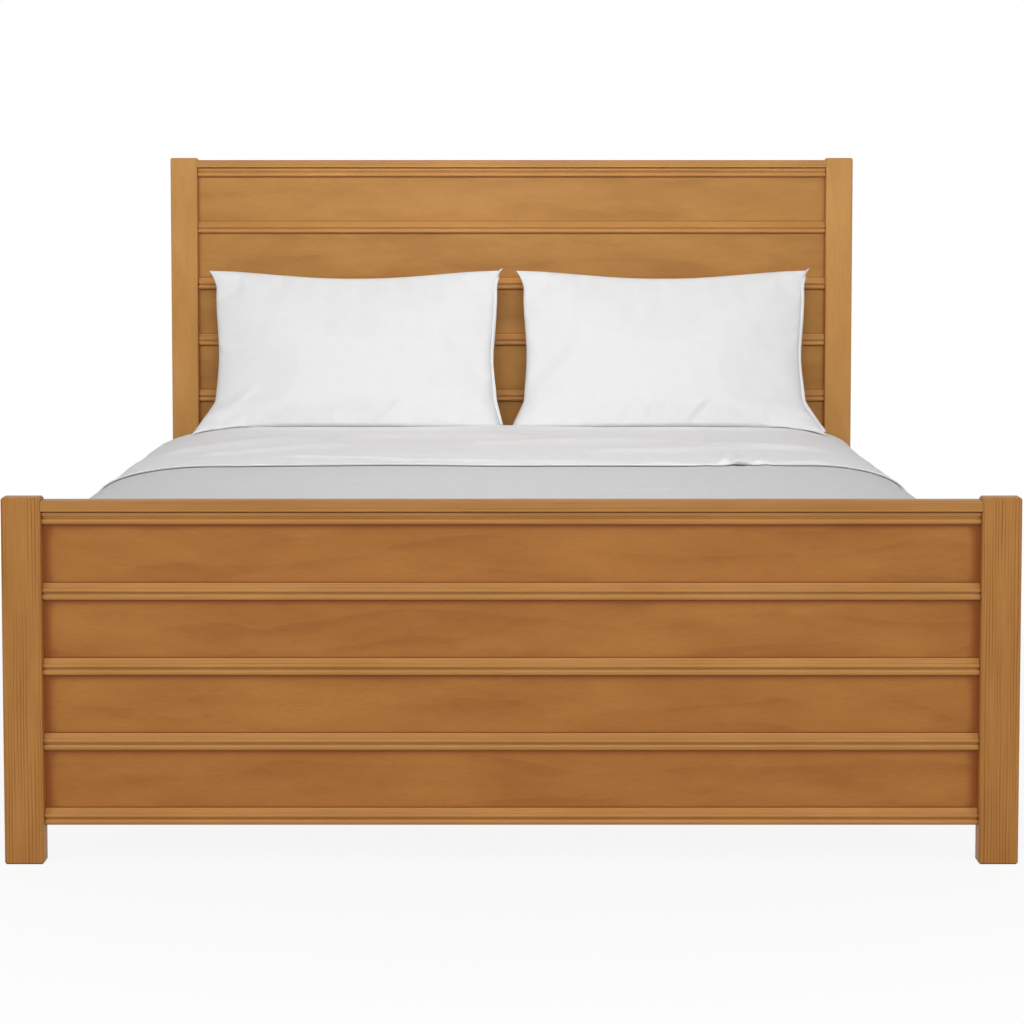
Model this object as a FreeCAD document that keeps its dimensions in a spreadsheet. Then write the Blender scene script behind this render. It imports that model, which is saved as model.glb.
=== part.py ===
import FreeCAD, Part
import os
from math import asin, pi, sin
from operator import add, mul, sub, truediv
from types import SimpleNamespace

import Sketcher
from FreeCAD import Placement, Rotation, Vector

# A queen-size platform bed in stained pine, made up with its bedding, in millimetres.
# +X is the right side of the bed seen from its foot, +Y runs from foot to head and +Z is up.
# The origin is on the floor, in the middle of the bed.

# Driving sizes, each with its name in the sheet.
SIZES = {
    # Posts
    "post_width": 64,
    "post_depth": 35,
    "head_post_height": 1170,
    "foot_post_height": 597,
    "post_round": 3.5,
    "post_top_chamfer": 3,
    "post_foot_chamfer": 3,
    # Frame-and-panel joints: grooves in posts and rails hold the panels and the rails' stub tenons
    "panel_thickness": 10,
    "panel_setback": 18,
    "groove_fit": 0.15,
    "groove_depth": 8,
    "panel_edge_gap": 0.5,
    "post_groove_depth": 12.5,
    "tenon_length": 12,
    # Beaded rails
    "rail_thickness": 22,
    "bead_setback": 8,
    "bead_rise": 3,
    "low_bead": 10,
    "bead_gap": 1.8,
    "high_bead": 7.5,
    "splay_height": 7.5,
    "splay_lip": 2.2,
    "head_pitch": 135.5,
    "head_rails": 7,
    "foot_pitch": 122.5,
    "foot_rails": 5,
    # Cap boards
    "cap_height": 17.5,
    "cap_setback": 2,
    "cap_depth": 31,
    "cap_drop": 5,
    "cap_round": 4,
    "cap_tongue": 6,
    "cap_tongue_gap": 0.5,
    "cap_tenon_low": 7,
    "cap_tenon_height": 6,
    # Mattress
    "mattress_width": 1524,
    "mattress_length": 2032,
    "mattress_height": 220,
    "mattress_wall": 16,
    "mattress_corner": 60,
    "mattress_edge": 45,
    "mattress_foot_chamfer": 25,
    "mattress_head_gap": 5,
    "mattress_foot_gap": 14,
    # Side rails and ledgers
    "side_gap": 2,
    "side_rail_setback": 34,
    "side_rail_thickness": 22,
    "side_rail_height": 140,
    "side_rail_bottom": 195,
    "side_rail_round": 4,
    "ledger_width": 36,
    "ledger_height": 30,
    "ledger_end_gap": 15,
    # Slats
    "slat_top": 300,
    "slat_thickness": 20,
    "slat_width": 100,
    "slat_round": 3,
    "slat_count": 12,
    "slat_end_gap": 3,
    "slat_margin": 30,
    "tape_width": 25,
    "tape_thickness": 1.5,
    "tape_offset": 480,
    # Centre support
    "centre_rail_width": 35,
    "centre_rail_height": 70,
    "leg_cheek": 20,
    "leg_depth": 60,
    "leg_lap": 60,
    "leg_lap_fit": 0.2,
    "leg_spread_share": 0.35,
    "leg_foot_chamfer": 4,
    # Hooked bed-rail plates
    "plate_width": 16,
    "plate_height": 110,
    "plate_thickness": 3,
    "hook_spacing": 44,
    "hook_thickness": 4,
    "hook_neck": 14,
    "hook_drop": 8,
    "hook_tongue": 4,
    "hook_fit": 0.3,
    "hook_slot_width": 5,
    "hook_slot_height": 24,
    "hook_cavity_width": 8,
    "hook_cavity_height": 84,
    "hook_cavity_depth": 10,
    # Fasteners
    "screw_fit": 0.15,
    "screw_diameter": 5,
    "screw_bite": 30,
    "screw_head": 9,
    "screw_head_height": 3,
    "screw_sink": 4,
    "bolt_diameter": 8,
    "bolt_fit": 0.25,
    "bolt_head": 18,
    "bolt_head_height": 4,
    "bolt_tail": 3,
    "nut_width": 13,
    "nut_height": 6.5,
    # Bedding
    "cover_gap": 0.3,
    "blanket_thickness": 10,
    "blanket_hem": 285,
    "blanket_tuck": 130,
    "cover_spread": 38,
    "fold_rise": 5,
    "fold_pitch": 230,
    "sheet_thickness": 5,
    "sheet_hem": 300,
    "sheet_fold_reach": 124,
    "sheet_hem_reach": 990,
    "sheet_fold_rise": 2.5,
    "pillow_margin": 57,
    "pillow_gap": 27,
    "pillow_height": 385,
    "pillow_thickness": 130,
    "pillow_front": 82,
    "pillow_foot_share": 0.4,
    "pillow_seam_share": 0.08,
    "pillow_draw": 20,
    "pillow_dip": 24,
    "pillow_lean": 8,
    "pillow_clearance": 1,
    "pillow_settle": 2.6,
}

HEAD, FOOT = 1, -1
LEFT, RIGHT = -1, 1

doc = FreeCAD.newDocument("PlatformBed")
sheet = doc.addObject("Spreadsheet::Sheet", "Sizes")
for row, (alias, number) in enumerate(SIZES.items(), start=1):
    sheet.set(f"A{row}", alias)
    sheet.set(f"B{row}", str(number))
    sheet.setAlias(f"B{row}", alias)
doc.recompute()


class Size:
    """A length and the sheet expression that gives it, so that sums of sizes stay bound to the sheet."""

    SIGNS = {add: "+", sub: "-", mul: "*", truediv: "/"}

    def __init__(self, text, value):
        self.text = text
        self.value = value

    @staticmethod
    def of(thing):
        return thing if isinstance(thing, Size) else Size(str(thing), thing)

    @staticmethod
    def joined(work, one, other):
        one, other = Size.of(one), Size.of(other)
        return Size(f"({one.text} {Size.SIGNS[work]} {other.text})", work(one.value, other.value))

    def __add__(self, other):
        return Size.joined(add, self, other)

    def __radd__(self, other):
        return Size.joined(add, other, self)

    def __sub__(self, other):
        return Size.joined(sub, self, other)

    def __rsub__(self, other):
        return Size.joined(sub, other, self)

    def __mul__(self, other):
        return Size.joined(mul, self, other)

    def __rmul__(self, other):
        return Size.joined(mul, other, self)

    def __truediv__(self, other):
        return Size.joined(truediv, self, other)


d = SimpleNamespace(**{name: Size(f"Sizes.{name}", float(sheet.get(name))) for name in SIZES})

# Places and sizes that several pieces share
inside_length = d.mattress_foot_gap + d.mattress_length + d.mattress_head_gap
overall_length = inside_length + 2 * d.post_depth
half_inside = d.mattress_width / 2 + d.side_gap
overall_width = 2 * (half_inside + d.side_rail_thickness + d.side_rail_setback)
clear_width = overall_width - 2 * d.post_width
side_rail_middle = half_inside + d.side_rail_thickness / 2
plate_middle = d.side_rail_bottom + d.side_rail_height / 2
groove_front = d.panel_setback - d.groove_fit
groove_back = d.panel_setback + d.panel_thickness + d.groove_fit
rail_back = d.bead_setback + d.rail_thickness
rail_height = d.low_bead + d.bead_gap + d.high_bead + d.splay_height
top_rail_height = d.low_bead + d.bead_gap + d.low_bead
slat_bottom = d.slat_top - d.slat_thickness
slat_length = 2 * (half_inside - d.slat_end_gap)
slat_run = inside_length - 2 * d.slat_margin
leg_spread = slat_run * d.leg_spread_share
slat_pitch = (slat_run - d.slat_width) / (d.slat_count - 1)
ledger_length = inside_length - 2 * d.ledger_end_gap
leg_width = d.centre_rail_width + 2 * d.leg_lap_fit + 2 * d.leg_cheek
leg_height = slat_bottom - d.centre_rail_height + d.leg_lap
bolt_height = slat_bottom - d.centre_rail_height / 2
slat_numbers = range(int(d.slat_count.value))
screwed_slats = (1, slat_numbers[-2])
leg_places = {"foot": -1, "middle": 0, "head": 1}
END_Y = {FOOT: 0 - overall_length / 2, HEAD: overall_length / 2 - d.post_depth}
POST_HEIGHT = {FOOT: d.foot_post_height, HEAD: d.head_post_height}
PITCH = {FOOT: d.foot_pitch, HEAD: d.head_pitch}
RAIL_COUNT = {FOOT: int(d.foot_rails.value), HEAD: int(d.head_rails.value)}
END_NAME = {FOOT: "foot", HEAD: "head"}
SIDE_NAME = {LEFT: "left", RIGHT: "right"}


# Helpers for the document

def place(thing, x, y, z):
    """Binds where a piece stands."""
    for axis, length in zip("xyz", (x, y, z)):
        thing.setExpression(f"Placement.Base.{axis}", Size.of(length).text)


def new_body(label, x, y, z):
    body = doc.addObject("PartDesign::Body", label)
    body.Label = label
    place(body, x, y, z)
    return body


def new_sketch(body, name, role, away=0):
    """A sketch on one of the body's own planes, or that far from it along its normal."""
    sketch = body.newObject("Sketcher::SketchObject", f"{body.Label}_{name}")
    plane = next(f for f in body.Origin.OriginFeatures if f.Role == role)
    sketch.AttachmentSupport = [(plane, "")]
    sketch.MapMode = "FlatFace"
    sketch.setExpression("AttachmentOffset.Base.z", Size.of(away).text)
    return sketch


def fix(sketch, element, point, x, y):
    """Fixes a point of a sketch at x and y from the sketch's origin."""
    for kind, axis, length in (("DistanceX", -2, x), ("DistanceY", -1, y)):
        if isinstance(length, Size):
            constraint = Sketcher.Constraint(kind, -1, 1, element, point, length.value)
            index = sketch.addConstraint(constraint)
            sketch.setExpression(f"Constraints[{index}]", length.text)
        else:
            sketch.addConstraint(Sketcher.Constraint("PointOnObject", element, point, axis))


def outline(sketch, points, bulges=None):
    """A closed outline, anticlockwise; bulges gives the rise of each arc by the number of its first point."""
    bulges = bulges or {}
    places = [Vector(Size.of(x).value, Size.of(y).value, 0) for x, y in points]
    elements = []
    for number, start in enumerate(places):
        end = places[(number + 1) % len(places)]
        if number in bulges:
            middle, chord = (start + end) / 2, end - start
            outward = Vector(chord.y, -chord.x, 0).normalize()
            curve = Part.Arc(start, middle + outward * bulges[number].value, end)
        else:
            curve = Part.LineSegment(start, end)
        elements.append(sketch.addGeometry(curve))
    for number, element in enumerate(elements):
        following = elements[(number + 1) % len(elements)]
        sketch.addConstraint(Sketcher.Constraint("Coincident", element, 2, following, 1))
        fix(sketch, element, 1, *points[number])
    for number, rise in bulges.items():
        (x, y), (end_x, end_y) = points[number], points[(number + 1) % len(points)]
        across, up = Size.of(end_x) - x, Size.of(end_y) - y
        radius = ((across * across + up * up) / 4 + rise * rise) / (2 * rise)
        index = sketch.addConstraint(Sketcher.Constraint("Radius", elements[number], radius.value))
        sketch.setExpression(f"Constraints[{index}]", radius.text)


def rectangle(sketch, x, y, width, height):
    right, top = Size.of(x) + width, Size.of(y) + height
    outline(sketch, [(x, y), (right, y), (right, top), (x, top)])


def circles(sketch, centres, diameter):
    for x, y in centres:
        centre = Vector(Size.of(x).value, Size.of(y).value, 0)
        element = sketch.addGeometry(Part.Circle(centre, Vector(0, 0, 1), diameter.value / 2))
        fix(sketch, element, 3, x, y)
        index = sketch.addConstraint(Sketcher.Constraint("Diameter", element, diameter.value))
        sketch.setExpression(f"Constraints[{index}]", diameter.text)


def pad(body, sketch, length, reverse=False):
    feature = body.newObject("PartDesign::Pad", f"{sketch.Label}_pad")
    feature.Profile = sketch
    feature.setExpression("Length", Size.of(length).text)
    feature.Reversed = reverse
    doc.recompute()


def pocket(body, sketch, depth, reverse=False):
    before = body.Shape.Volume
    feature = body.newObject("PartDesign::Pocket", f"{sketch.Label}_pocket")
    feature.Profile = sketch
    feature.setExpression("Length", Size.of(depth).text)
    feature.Reversed = reverse
    doc.recompute()
    if feature.Shape.Volume > before - 1:
        raise RuntimeError(f"{feature.Label} removes nothing")


def dress(body, kind, property_name, test, size):
    """Rounds or chamfers the edges of the body so far that pass the test."""
    base = body.Tip
    edges = [f"Edge{number}" for number, edge in enumerate(base.Shape.Edges, start=1) if test(edge)]
    feature = body.newObject(f"PartDesign::{kind}", f"{body.Label}_{kind}")
    feature.Base = (base, edges)
    feature.setExpression(property_name, size.text)
    doc.recompute()


def runs_along(direction):
    """A test for straight edges along a direction."""
    def test(edge):
        span = edge.Vertexes[-1].Point - edge.Vertexes[0].Point
        return span.Length > 0 and abs(span.normalize().dot(direction)) > 0.999
    return test


def lies_level_at(height):
    """A test for edges in the level plane at a height of the body."""
    def test(edge):
        box = edge.BoundBox
        return abs(box.ZMin - height.value) < 1e-4 and abs(box.ZMax - height.value) < 1e-4
    return test


def drilled(body, centres, top, depth):
    """Holes for the slats' screws, down from the body's top."""
    holes = new_sketch(body, "screw_holes", "XY_Plane", top)
    circles(holes, centres, d.screw_diameter + 2 * d.screw_fit)
    pocket(body, holes, depth)


def inner_face(side, thickness):
    """How far a piece's face towards the middle of the bed is from its YZ plane, and which way it is cut."""
    return (thickness, False) if side == LEFT else (0, True)


def left_edge(side, inner, thickness):
    """The X of a piece's lower side, from how far its inner face is from the middle."""
    return 0 - inner - thickness if side == LEFT else inner


# Headboard and footboard: posts, cap boards, beaded rails and panels

def rail_bottoms(end):
    """Heights of an end's rails, the lowest first."""
    top = POST_HEIGHT[end] - d.cap_drop - d.cap_height - top_rail_height
    return [top - number * PITCH[end] for number in reversed(range(RAIL_COUNT[end]))]


def make_post(end, side):
    height = POST_HEIGHT[end]
    inner = overall_width / 2 - d.post_width
    x = left_edge(side, inner, d.post_width)
    post = new_body(f"{END_NAME[end]}_post_{SIDE_NAME[side]}", x, END_Y[end], 0)
    section = new_sketch(post, "section", "XY_Plane")
    rectangle(section, 0, 0, d.post_width, d.post_depth)
    pad(post, section, height)
    dress(post, "Fillet", "Radius", runs_along(Vector(0, 0, 1)), d.post_round)
    dress(post, "Chamfer", "Size", lies_level_at(height), d.post_top_chamfer)
    dress(post, "Chamfer", "Size", lies_level_at(Size("0", 0)), d.post_foot_chamfer)

    away, reverse = inner_face(side, d.post_width)
    low = rail_bottoms(end)[0]
    high = height - d.cap_drop - d.cap_height + d.cap_tenon_low + d.cap_tenon_height
    groove = new_sketch(post, "groove", "YZ_Plane", away)
    rectangle(groove, groove_front, low, groove_back - groove_front, high - low)
    pocket(post, groove, d.post_groove_depth, reverse)

    middle = overall_width / 2 - side_rail_middle
    middle = middle if side == LEFT else d.post_width - middle
    away, reverse = (0, False) if end == HEAD else (0 - d.post_depth, True)
    seat = new_sketch(post, "plate_seat", "XZ_Plane", away)
    seat_low = plate_middle - d.plate_height / 2
    rectangle(seat, middle - d.plate_width / 2, seat_low, d.plate_width, d.plate_height)
    pocket(post, seat, d.plate_thickness, reverse)
    cavity = new_sketch(post, "hook_cavity", "XZ_Plane", away)
    cavity_low = plate_middle - d.hook_cavity_height / 2
    rectangle(cavity, middle - d.hook_cavity_width / 2, cavity_low, d.hook_cavity_width, d.hook_cavity_height)
    pocket(post, cavity, d.plate_thickness + d.hook_cavity_depth, reverse)
    return post


def make_rail(end, number, bottom):
    """A beaded rail: two beads below a splayed edge, or below the cap board on the topmost one."""
    is_lowest, is_topmost = number == 1, number == RAIL_COUNT[end]
    rail = new_body(f"{END_NAME[end]}_rail_{number}", 0 - clear_width / 2, END_Y[end], bottom)
    front = d.bead_setback + d.bead_rise
    high_start = d.low_bead + d.bead_gap
    top = top_rail_height if is_topmost else rail_height
    points = [(front, 0)]
    if not is_lowest:
        points += [(groove_front, 0), (groove_front, d.groove_depth)]
        points += [(groove_back, d.groove_depth), (groove_back, 0)]
    points += [(rail_back, 0), (rail_back, top)]
    if is_topmost:
        tongue_back = d.panel_setback + d.panel_thickness
        points += [(tongue_back, top), (tongue_back, top + d.cap_tongue)]
        points += [(d.panel_setback, top + d.cap_tongue), (d.panel_setback, top)]
        points += [(front, top)]
    else:
        points += [(groove_back, top), (groove_back, top - d.groove_depth)]
        points += [(groove_front, top - d.groove_depth), (groove_front, top)]
        points += [(groove_front - d.splay_lip, top), (front, top - d.splay_height)]
    points += [(front, high_start), (front, d.low_bead)]
    profile = new_sketch(rail, "profile", "YZ_Plane")
    outline(profile, points, {len(points) - 3: d.bead_rise, len(points) - 1: d.bead_rise})
    pad(rail, profile, clear_width)

    low = 0 if is_lowest else d.groove_depth
    high = top if is_topmost else top - d.groove_depth
    tenon = new_sketch(rail, "tenon", "YZ_Plane", 0 - d.tenon_length)
    rectangle(tenon, d.panel_setback, low, d.panel_thickness, high - low)
    pad(rail, tenon, clear_width + 2 * d.tenon_length)
    return rail


def make_cap(end):
    """The flat board on top, grooved below for the topmost rail's tongue."""
    bottom = POST_HEIGHT[end] - d.cap_drop - d.cap_height
    cap = new_body(f"{END_NAME[end]}_cap", 0 - clear_width / 2, END_Y[end], bottom)
    back = d.cap_setback + d.cap_depth
    slot = d.cap_tongue + d.cap_tongue_gap
    profile = new_sketch(cap, "profile", "YZ_Plane")
    points = [(d.cap_setback, 0), (groove_front, 0), (groove_front, slot), (groove_back, slot)]
    points += [(groove_back, 0), (back, 0), (back, d.cap_height), (d.cap_setback, d.cap_height)]
    outline(profile, points)
    pad(cap, profile, clear_width)
    along, on_top = runs_along(Vector(1, 0, 0)), lies_level_at(d.cap_height)
    dress(cap, "Fillet", "Radius", lambda edge: along(edge) and on_top(edge), d.cap_round)
    tenon = new_sketch(cap, "tenon", "YZ_Plane", 0 - d.tenon_length)
    rectangle(tenon, d.panel_setback, d.cap_tenon_low, d.panel_thickness, d.cap_tenon_height)
    pad(cap, tenon, clear_width + 2 * d.tenon_length)
    return cap


def make_panel(end, number, below):
    """A thin board held in the grooves of the posts and of the rails below and above it."""
    panel = doc.addObject("Part::Box", f"{END_NAME[end]}_panel_{number}")
    panel.Label = panel.Name
    low = below + rail_height - d.groove_depth + d.panel_edge_gap
    high = below + PITCH[end] + d.groove_depth - d.panel_edge_gap
    panel.setExpression("Length", (clear_width + 2 * d.tenon_length).text)
    panel.setExpression("Width", d.panel_thickness.text)
    panel.setExpression("Height", (high - low).text)
    place(panel, 0 - clear_width / 2 - d.tenon_length, END_Y[end] + d.panel_setback, low)
    return panel


def make_end(end):
    pieces = [make_post(end, side) for side in (LEFT, RIGHT)]
    bottoms = rail_bottoms(end)
    pieces += [make_rail(end, number, bottom) for number, bottom in enumerate(bottoms, start=1)]
    pieces += [make_panel(end, number, bottom) for number, bottom in enumerate(bottoms[:-1], start=1)]
    pieces.append(make_cap(end))
    return pieces


# Platform: side rails, ledgers, slats and the centre support

def slat_middle(number):
    """The middle of a slat, from the inside of the footboard."""
    return d.slat_margin + d.slat_width / 2 + number * slat_pitch


def make_side_rail(side):
    x = left_edge(side, half_inside, d.side_rail_thickness)
    rail = new_body(f"side_rail_{SIDE_NAME[side]}", x, 0 - inside_length / 2, d.side_rail_bottom)
    section = new_sketch(rail, "section", "XZ_Plane")
    rectangle(section, 0, 0, d.side_rail_thickness, d.side_rail_height)
    pad(rail, section, inside_length, reverse=True)
    dress(rail, "Fillet", "Radius", runs_along(Vector(0, 1, 0)), d.side_rail_round)
    left = (d.side_rail_thickness - d.plate_width) / 2
    low = (d.side_rail_height - d.plate_height) / 2
    for name, away, reverse in (("foot", 0, False), ("head", 0 - inside_length, True)):
        seat = new_sketch(rail, f"{name}_plate_seat", "XZ_Plane", away)
        rectangle(seat, left, low, d.plate_width, d.plate_height)
        pocket(rail, seat, d.plate_thickness, reverse)
    return rail


def make_ledger(side):
    """The batten glued inside a side rail, which carries the slats' ends."""
    ledger = doc.addObject("Part::Box", f"ledger_{SIDE_NAME[side]}")
    ledger.Label = ledger.Name
    ledger.setExpression("Length", d.ledger_width.text)
    ledger.setExpression("Width", ledger_length.text)
    ledger.setExpression("Height", d.ledger_height.text)
    x = left_edge(side, half_inside - d.ledger_width, d.ledger_width)
    place(ledger, x, 0 - ledger_length / 2, slat_bottom - d.ledger_height)
    return ledger


def make_slat(number):
    y = slat_middle(number) - d.slat_width / 2 - inside_length / 2
    slat = new_body(f"slat_{number + 1:02d}", 0 - slat_length / 2, y, slat_bottom)
    section = new_sketch(slat, "section", "XY_Plane")
    rectangle(section, 0, 0, slat_length, d.slat_width)
    pad(slat, section, d.slat_thickness)
    along, on_top = runs_along(Vector(1, 0, 0)), lies_level_at(d.slat_thickness)
    dress(slat, "Fillet", "Radius", lambda edge: along(edge) and on_top(edge), d.slat_round)
    if number in screwed_slats:
        centres = [(slat_length / 2, d.slat_width / 2)]
        drilled(slat, centres, d.slat_thickness, d.slat_thickness)
        seats = new_sketch(slat, "screw_seats", "XY_Plane", d.slat_thickness)
        circles(seats, centres, d.screw_head + 2 * d.screw_fit)
        pocket(slat, seats, d.screw_sink)
    return slat


def make_tape(side):
    """A webbing tape under the slats that keeps them at their spacing."""
    tape = doc.addObject("Part::Box", f"slat_tape_{SIDE_NAME[side]}")
    tape.Label = tape.Name
    tape.setExpression("Length", d.tape_width.text)
    tape.setExpression("Width", slat_run.text)
    tape.setExpression("Height", d.tape_thickness.text)
    x = side * d.tape_offset - d.tape_width / 2
    place(tape, x, 0 - slat_run / 2, slat_bottom - d.tape_thickness)
    return tape


def make_centre_rail():
    """The beam under the middle of the slats."""
    low = slat_bottom - d.centre_rail_height
    rail = new_body("centre_rail", 0 - d.centre_rail_width / 2, 0 - slat_run / 2, low)
    section = new_sketch(rail, "section", "XZ_Plane")
    rectangle(section, 0, 0, d.centre_rail_width, d.centre_rail_height)
    pad(rail, section, slat_run, reverse=True)
    centres = [(d.centre_rail_width / 2, slat_middle(number) - d.slat_margin) for number in screwed_slats]
    drilled(rail, centres, d.centre_rail_height, d.screw_bite)
    holes = new_sketch(rail, "bolt_holes", "YZ_Plane", d.centre_rail_width)
    centres = [(slat_run / 2 + way * leg_spread, d.centre_rail_height / 2) for way in leg_places.values()]
    circles(holes, centres, d.bolt_diameter + 2 * d.bolt_fit)
    pocket(rail, holes, d.centre_rail_width)
    return rail


def make_leg(name, way):
    """A leg whose forked top takes the centre rail between two cheeks."""
    leg = new_body(f"centre_leg_{name}", 0 - leg_width / 2, way * leg_spread - d.leg_depth / 2, 0)
    fork = leg_width - d.leg_cheek
    floor = leg_height - d.leg_lap
    profile = new_sketch(leg, "profile", "XZ_Plane")
    points = [(0, 0), (leg_width, 0), (leg_width, leg_height), (fork, leg_height)]
    points += [(fork, floor), (d.leg_cheek, floor), (d.leg_cheek, leg_height), (0, leg_height)]
    outline(profile, points)
    pad(leg, profile, d.leg_depth, reverse=True)
    dress(leg, "Chamfer", "Size", lies_level_at(Size("0", 0)), d.leg_foot_chamfer)
    hole = new_sketch(leg, "bolt_hole", "YZ_Plane", leg_width)
    circles(hole, [(d.leg_depth / 2, bolt_height)], d.bolt_diameter + 2 * d.bolt_fit)
    pocket(leg, hole, leg_width)
    return leg


# Hardware

hook_face = d.hook_tongue + d.plate_thickness + d.hook_fit


def hook_low(way):
    """The underside of a hook's neck, which sits on the end of its slot."""
    return d.plate_height / 2 + way * d.hook_spacing / 2 - d.hook_neck / 2


def make_hook_plate_form():
    """A plate with two hooks that drop behind the receiver plate."""
    form = new_body("hook_plate_form", 0, 0, 0)
    face = new_sketch(form, "face", "XZ_Plane", 0 - hook_face)
    rectangle(face, 0, 0, d.plate_width, d.plate_height)
    pad(form, face, d.plate_thickness, reverse=True)
    for name, way in (("low", -1), ("high", 1)):
        low, high = hook_low(way), hook_low(way) + d.hook_neck
        hook = new_sketch(form, f"{name}_hook", "YZ_Plane", (d.plate_width - d.hook_thickness) / 2)
        points = [(0, low - d.hook_drop), (d.hook_tongue, low - d.hook_drop), (d.hook_tongue, low)]
        points += [(hook_face, low), (hook_face, high), (0, high)]
        outline(hook, points)
        pad(form, hook, d.hook_thickness)
    return form


def make_receiver_form():
    """A plate let into the post, with a slot for each hook."""
    form = new_body("receiver_plate_form", 0, 0, 0)
    face = new_sketch(form, "face", "XZ_Plane")
    rectangle(face, 0, 0, d.plate_width, d.plate_height)
    pad(form, face, d.plate_thickness, reverse=True)
    slots = new_sketch(form, "slots", "XZ_Plane")
    for way in (-1, 1):
        left = (d.plate_width - d.hook_slot_width) / 2
        rectangle(slots, left, hook_low(way), d.hook_slot_width, d.hook_slot_height)
    pocket(form, slots, d.plate_thickness)
    return form


def grouped(label, shapes):
    """Identical loose pieces that share one node."""
    group = doc.addObject("Part::Feature", label)
    group.Label = label
    group.Shape = Part.makeCompound(shapes)
    return group


def at_corners(form, face):
    """Copies of a plate at the four joints of side rails and posts; face is where its own front is."""
    copies = []
    for side in (LEFT, RIGHT):
        for end in (FOOT, HEAD):
            x = side * side_rail_middle.value + end * d.plate_width.value / 2
            y = end * (inside_length.value / 2 + face.value)
            z = plate_middle.value - d.plate_height.value / 2
            turn = Rotation(Vector(0, 0, 1), 0 if end == FOOT else 180)
            copy = form.Shape.copy()
            copy.Placement = Placement(Vector(x, y, z), turn)
            copies.append(copy)
    return copies


def screw(diameter, length, head, head_height, top, direction):
    """A screw whose head's top is at a point, driven along a direction."""
    shank = Part.makeCylinder(diameter.value / 2, head_height.value + length.value, top, direction)
    return shank.fuse(Part.makeCylinder(head.value / 2, head_height.value, top, direction)).removeSplitter()


def slat_screws():
    """The screws that hold the second slat from each end down on the centre rail."""
    screws = []
    length = d.slat_thickness - d.screw_sink + d.screw_bite
    for number in screwed_slats:
        y = slat_middle(number).value - inside_length.value / 2
        top = Vector(0, y, (d.slat_top - d.screw_sink + d.screw_head_height).value)
        sizes = (d.screw_diameter, length, d.screw_head, d.screw_head_height)
        screws.append(screw(*sizes, top, Vector(0, 0, -1)))
    return screws


def leg_bolts():
    bolts = []
    for way in leg_places.values():
        left = Vector(-leg_width.value / 2, way * leg_spread.value, bolt_height.value)
        top = left - Vector(d.bolt_head_height.value, 0, 0)
        length = leg_width + d.nut_height + d.bolt_tail
        bolts.append(screw(d.bolt_diameter, length, d.bolt_head, d.bolt_head_height, top, Vector(1, 0, 0)))
    return bolts


def leg_nuts():
    nuts = []
    corner = d.nut_width.value / 3 ** 0.5
    for way in leg_places.values():
        seat = Vector(leg_width.value / 2, way * leg_spread.value, bolt_height.value)
        turns = [Rotation(Vector(1, 0, 0), 60 * number) for number in range(7)]
        ring = [seat + turn.multVec(Vector(0, corner, 0)) for turn in turns]
        block = Part.Face(Part.makePolygon(ring)).extrude(Vector(d.nut_height.value, 0, 0))
        bore = d.bolt_diameter.value / 2 + d.screw_fit.value
        nuts.append(block.cut(Part.makeCylinder(bore, d.nut_height.value, seat, Vector(1, 0, 0))))
    return nuts


# Bedding

mattress_top = d.slat_top + d.cover_gap + d.mattress_height
mattress_head = inside_length / 2 - d.mattress_head_gap
mattress_foot = mattress_head - d.mattress_length


def make_mattress():
    """A mattress with rounded edges: its casing, without the springs and foam inside."""
    low = d.slat_top + d.cover_gap
    block = new_body("mattress_block", 0 - d.mattress_width / 2, mattress_foot, low)
    section = new_sketch(block, "section", "XY_Plane")
    rectangle(section, 0, 0, d.mattress_width, d.mattress_length)
    pad(block, section, d.mattress_height)
    dress(block, "Fillet", "Radius", runs_along(Vector(0, 0, 1)), d.mattress_corner)
    dress(block, "Fillet", "Radius", lies_level_at(d.mattress_height), d.mattress_edge)
    dress(block, "Chamfer", "Size", lies_level_at(Size("0", 0)), d.mattress_foot_chamfer)
    core = doc.addObject("Part::Box", "mattress_core")
    inset = d.mattress_wall + d.mattress_edge / 2
    core.setExpression("Length", (d.mattress_width - 2 * inset).text)
    core.setExpression("Width", (d.mattress_length - 2 * inset).text)
    core.setExpression("Height", (d.mattress_height - 2 * d.mattress_wall).text)
    place(core, inset - d.mattress_width / 2, mattress_foot + inset, low + d.mattress_wall)
    mattress = doc.addObject("Part::Cut", "mattress")
    mattress.Label = "mattress"
    mattress.Base = block
    mattress.Tool = core
    return mattress


def new_cloth(lift, thickness, hem, spread, rise):
    """A cloth that lies a little above the mattress; its shoulders go round the mattress's edges."""
    lift = lift + d.cover_gap
    return SimpleNamespace(
        half=(d.mattress_width / 2 + lift).value,
        top=(mattress_top + lift).value,
        shoulder=(d.mattress_edge + lift).value,
        thickness=thickness.value,
        hem=hem.value,
        spread=spread.value,
        rise=rise.value,
    )


def over_line(cloth, y, out):
    """A cloth's line across the bed, from one shoulder's foot to the other's, that far from its inside."""
    arc = cloth.shoulder + out
    low = cloth.top - cloth.shoulder
    inner = cloth.half - cloth.shoulder
    lean = arc * 0.5 ** 0.5

    def side_points(side):
        foot = Vector(side * (inner + arc), y, low)
        bend = Vector(side * (inner + lean), y, low + lean)
        return foot, bend, Vector(side * inner, y, low + arc)

    foot_l, bend_l, top_l = side_points(LEFT)
    foot_r, bend_r, top_r = side_points(RIGHT)
    curves = [Part.Arc(foot_l, bend_l, top_l), Part.LineSegment(top_l, top_r)]
    curves.append(Part.Arc(top_r, bend_r, foot_r))
    return [curve.toShape() for curve in curves]


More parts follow.
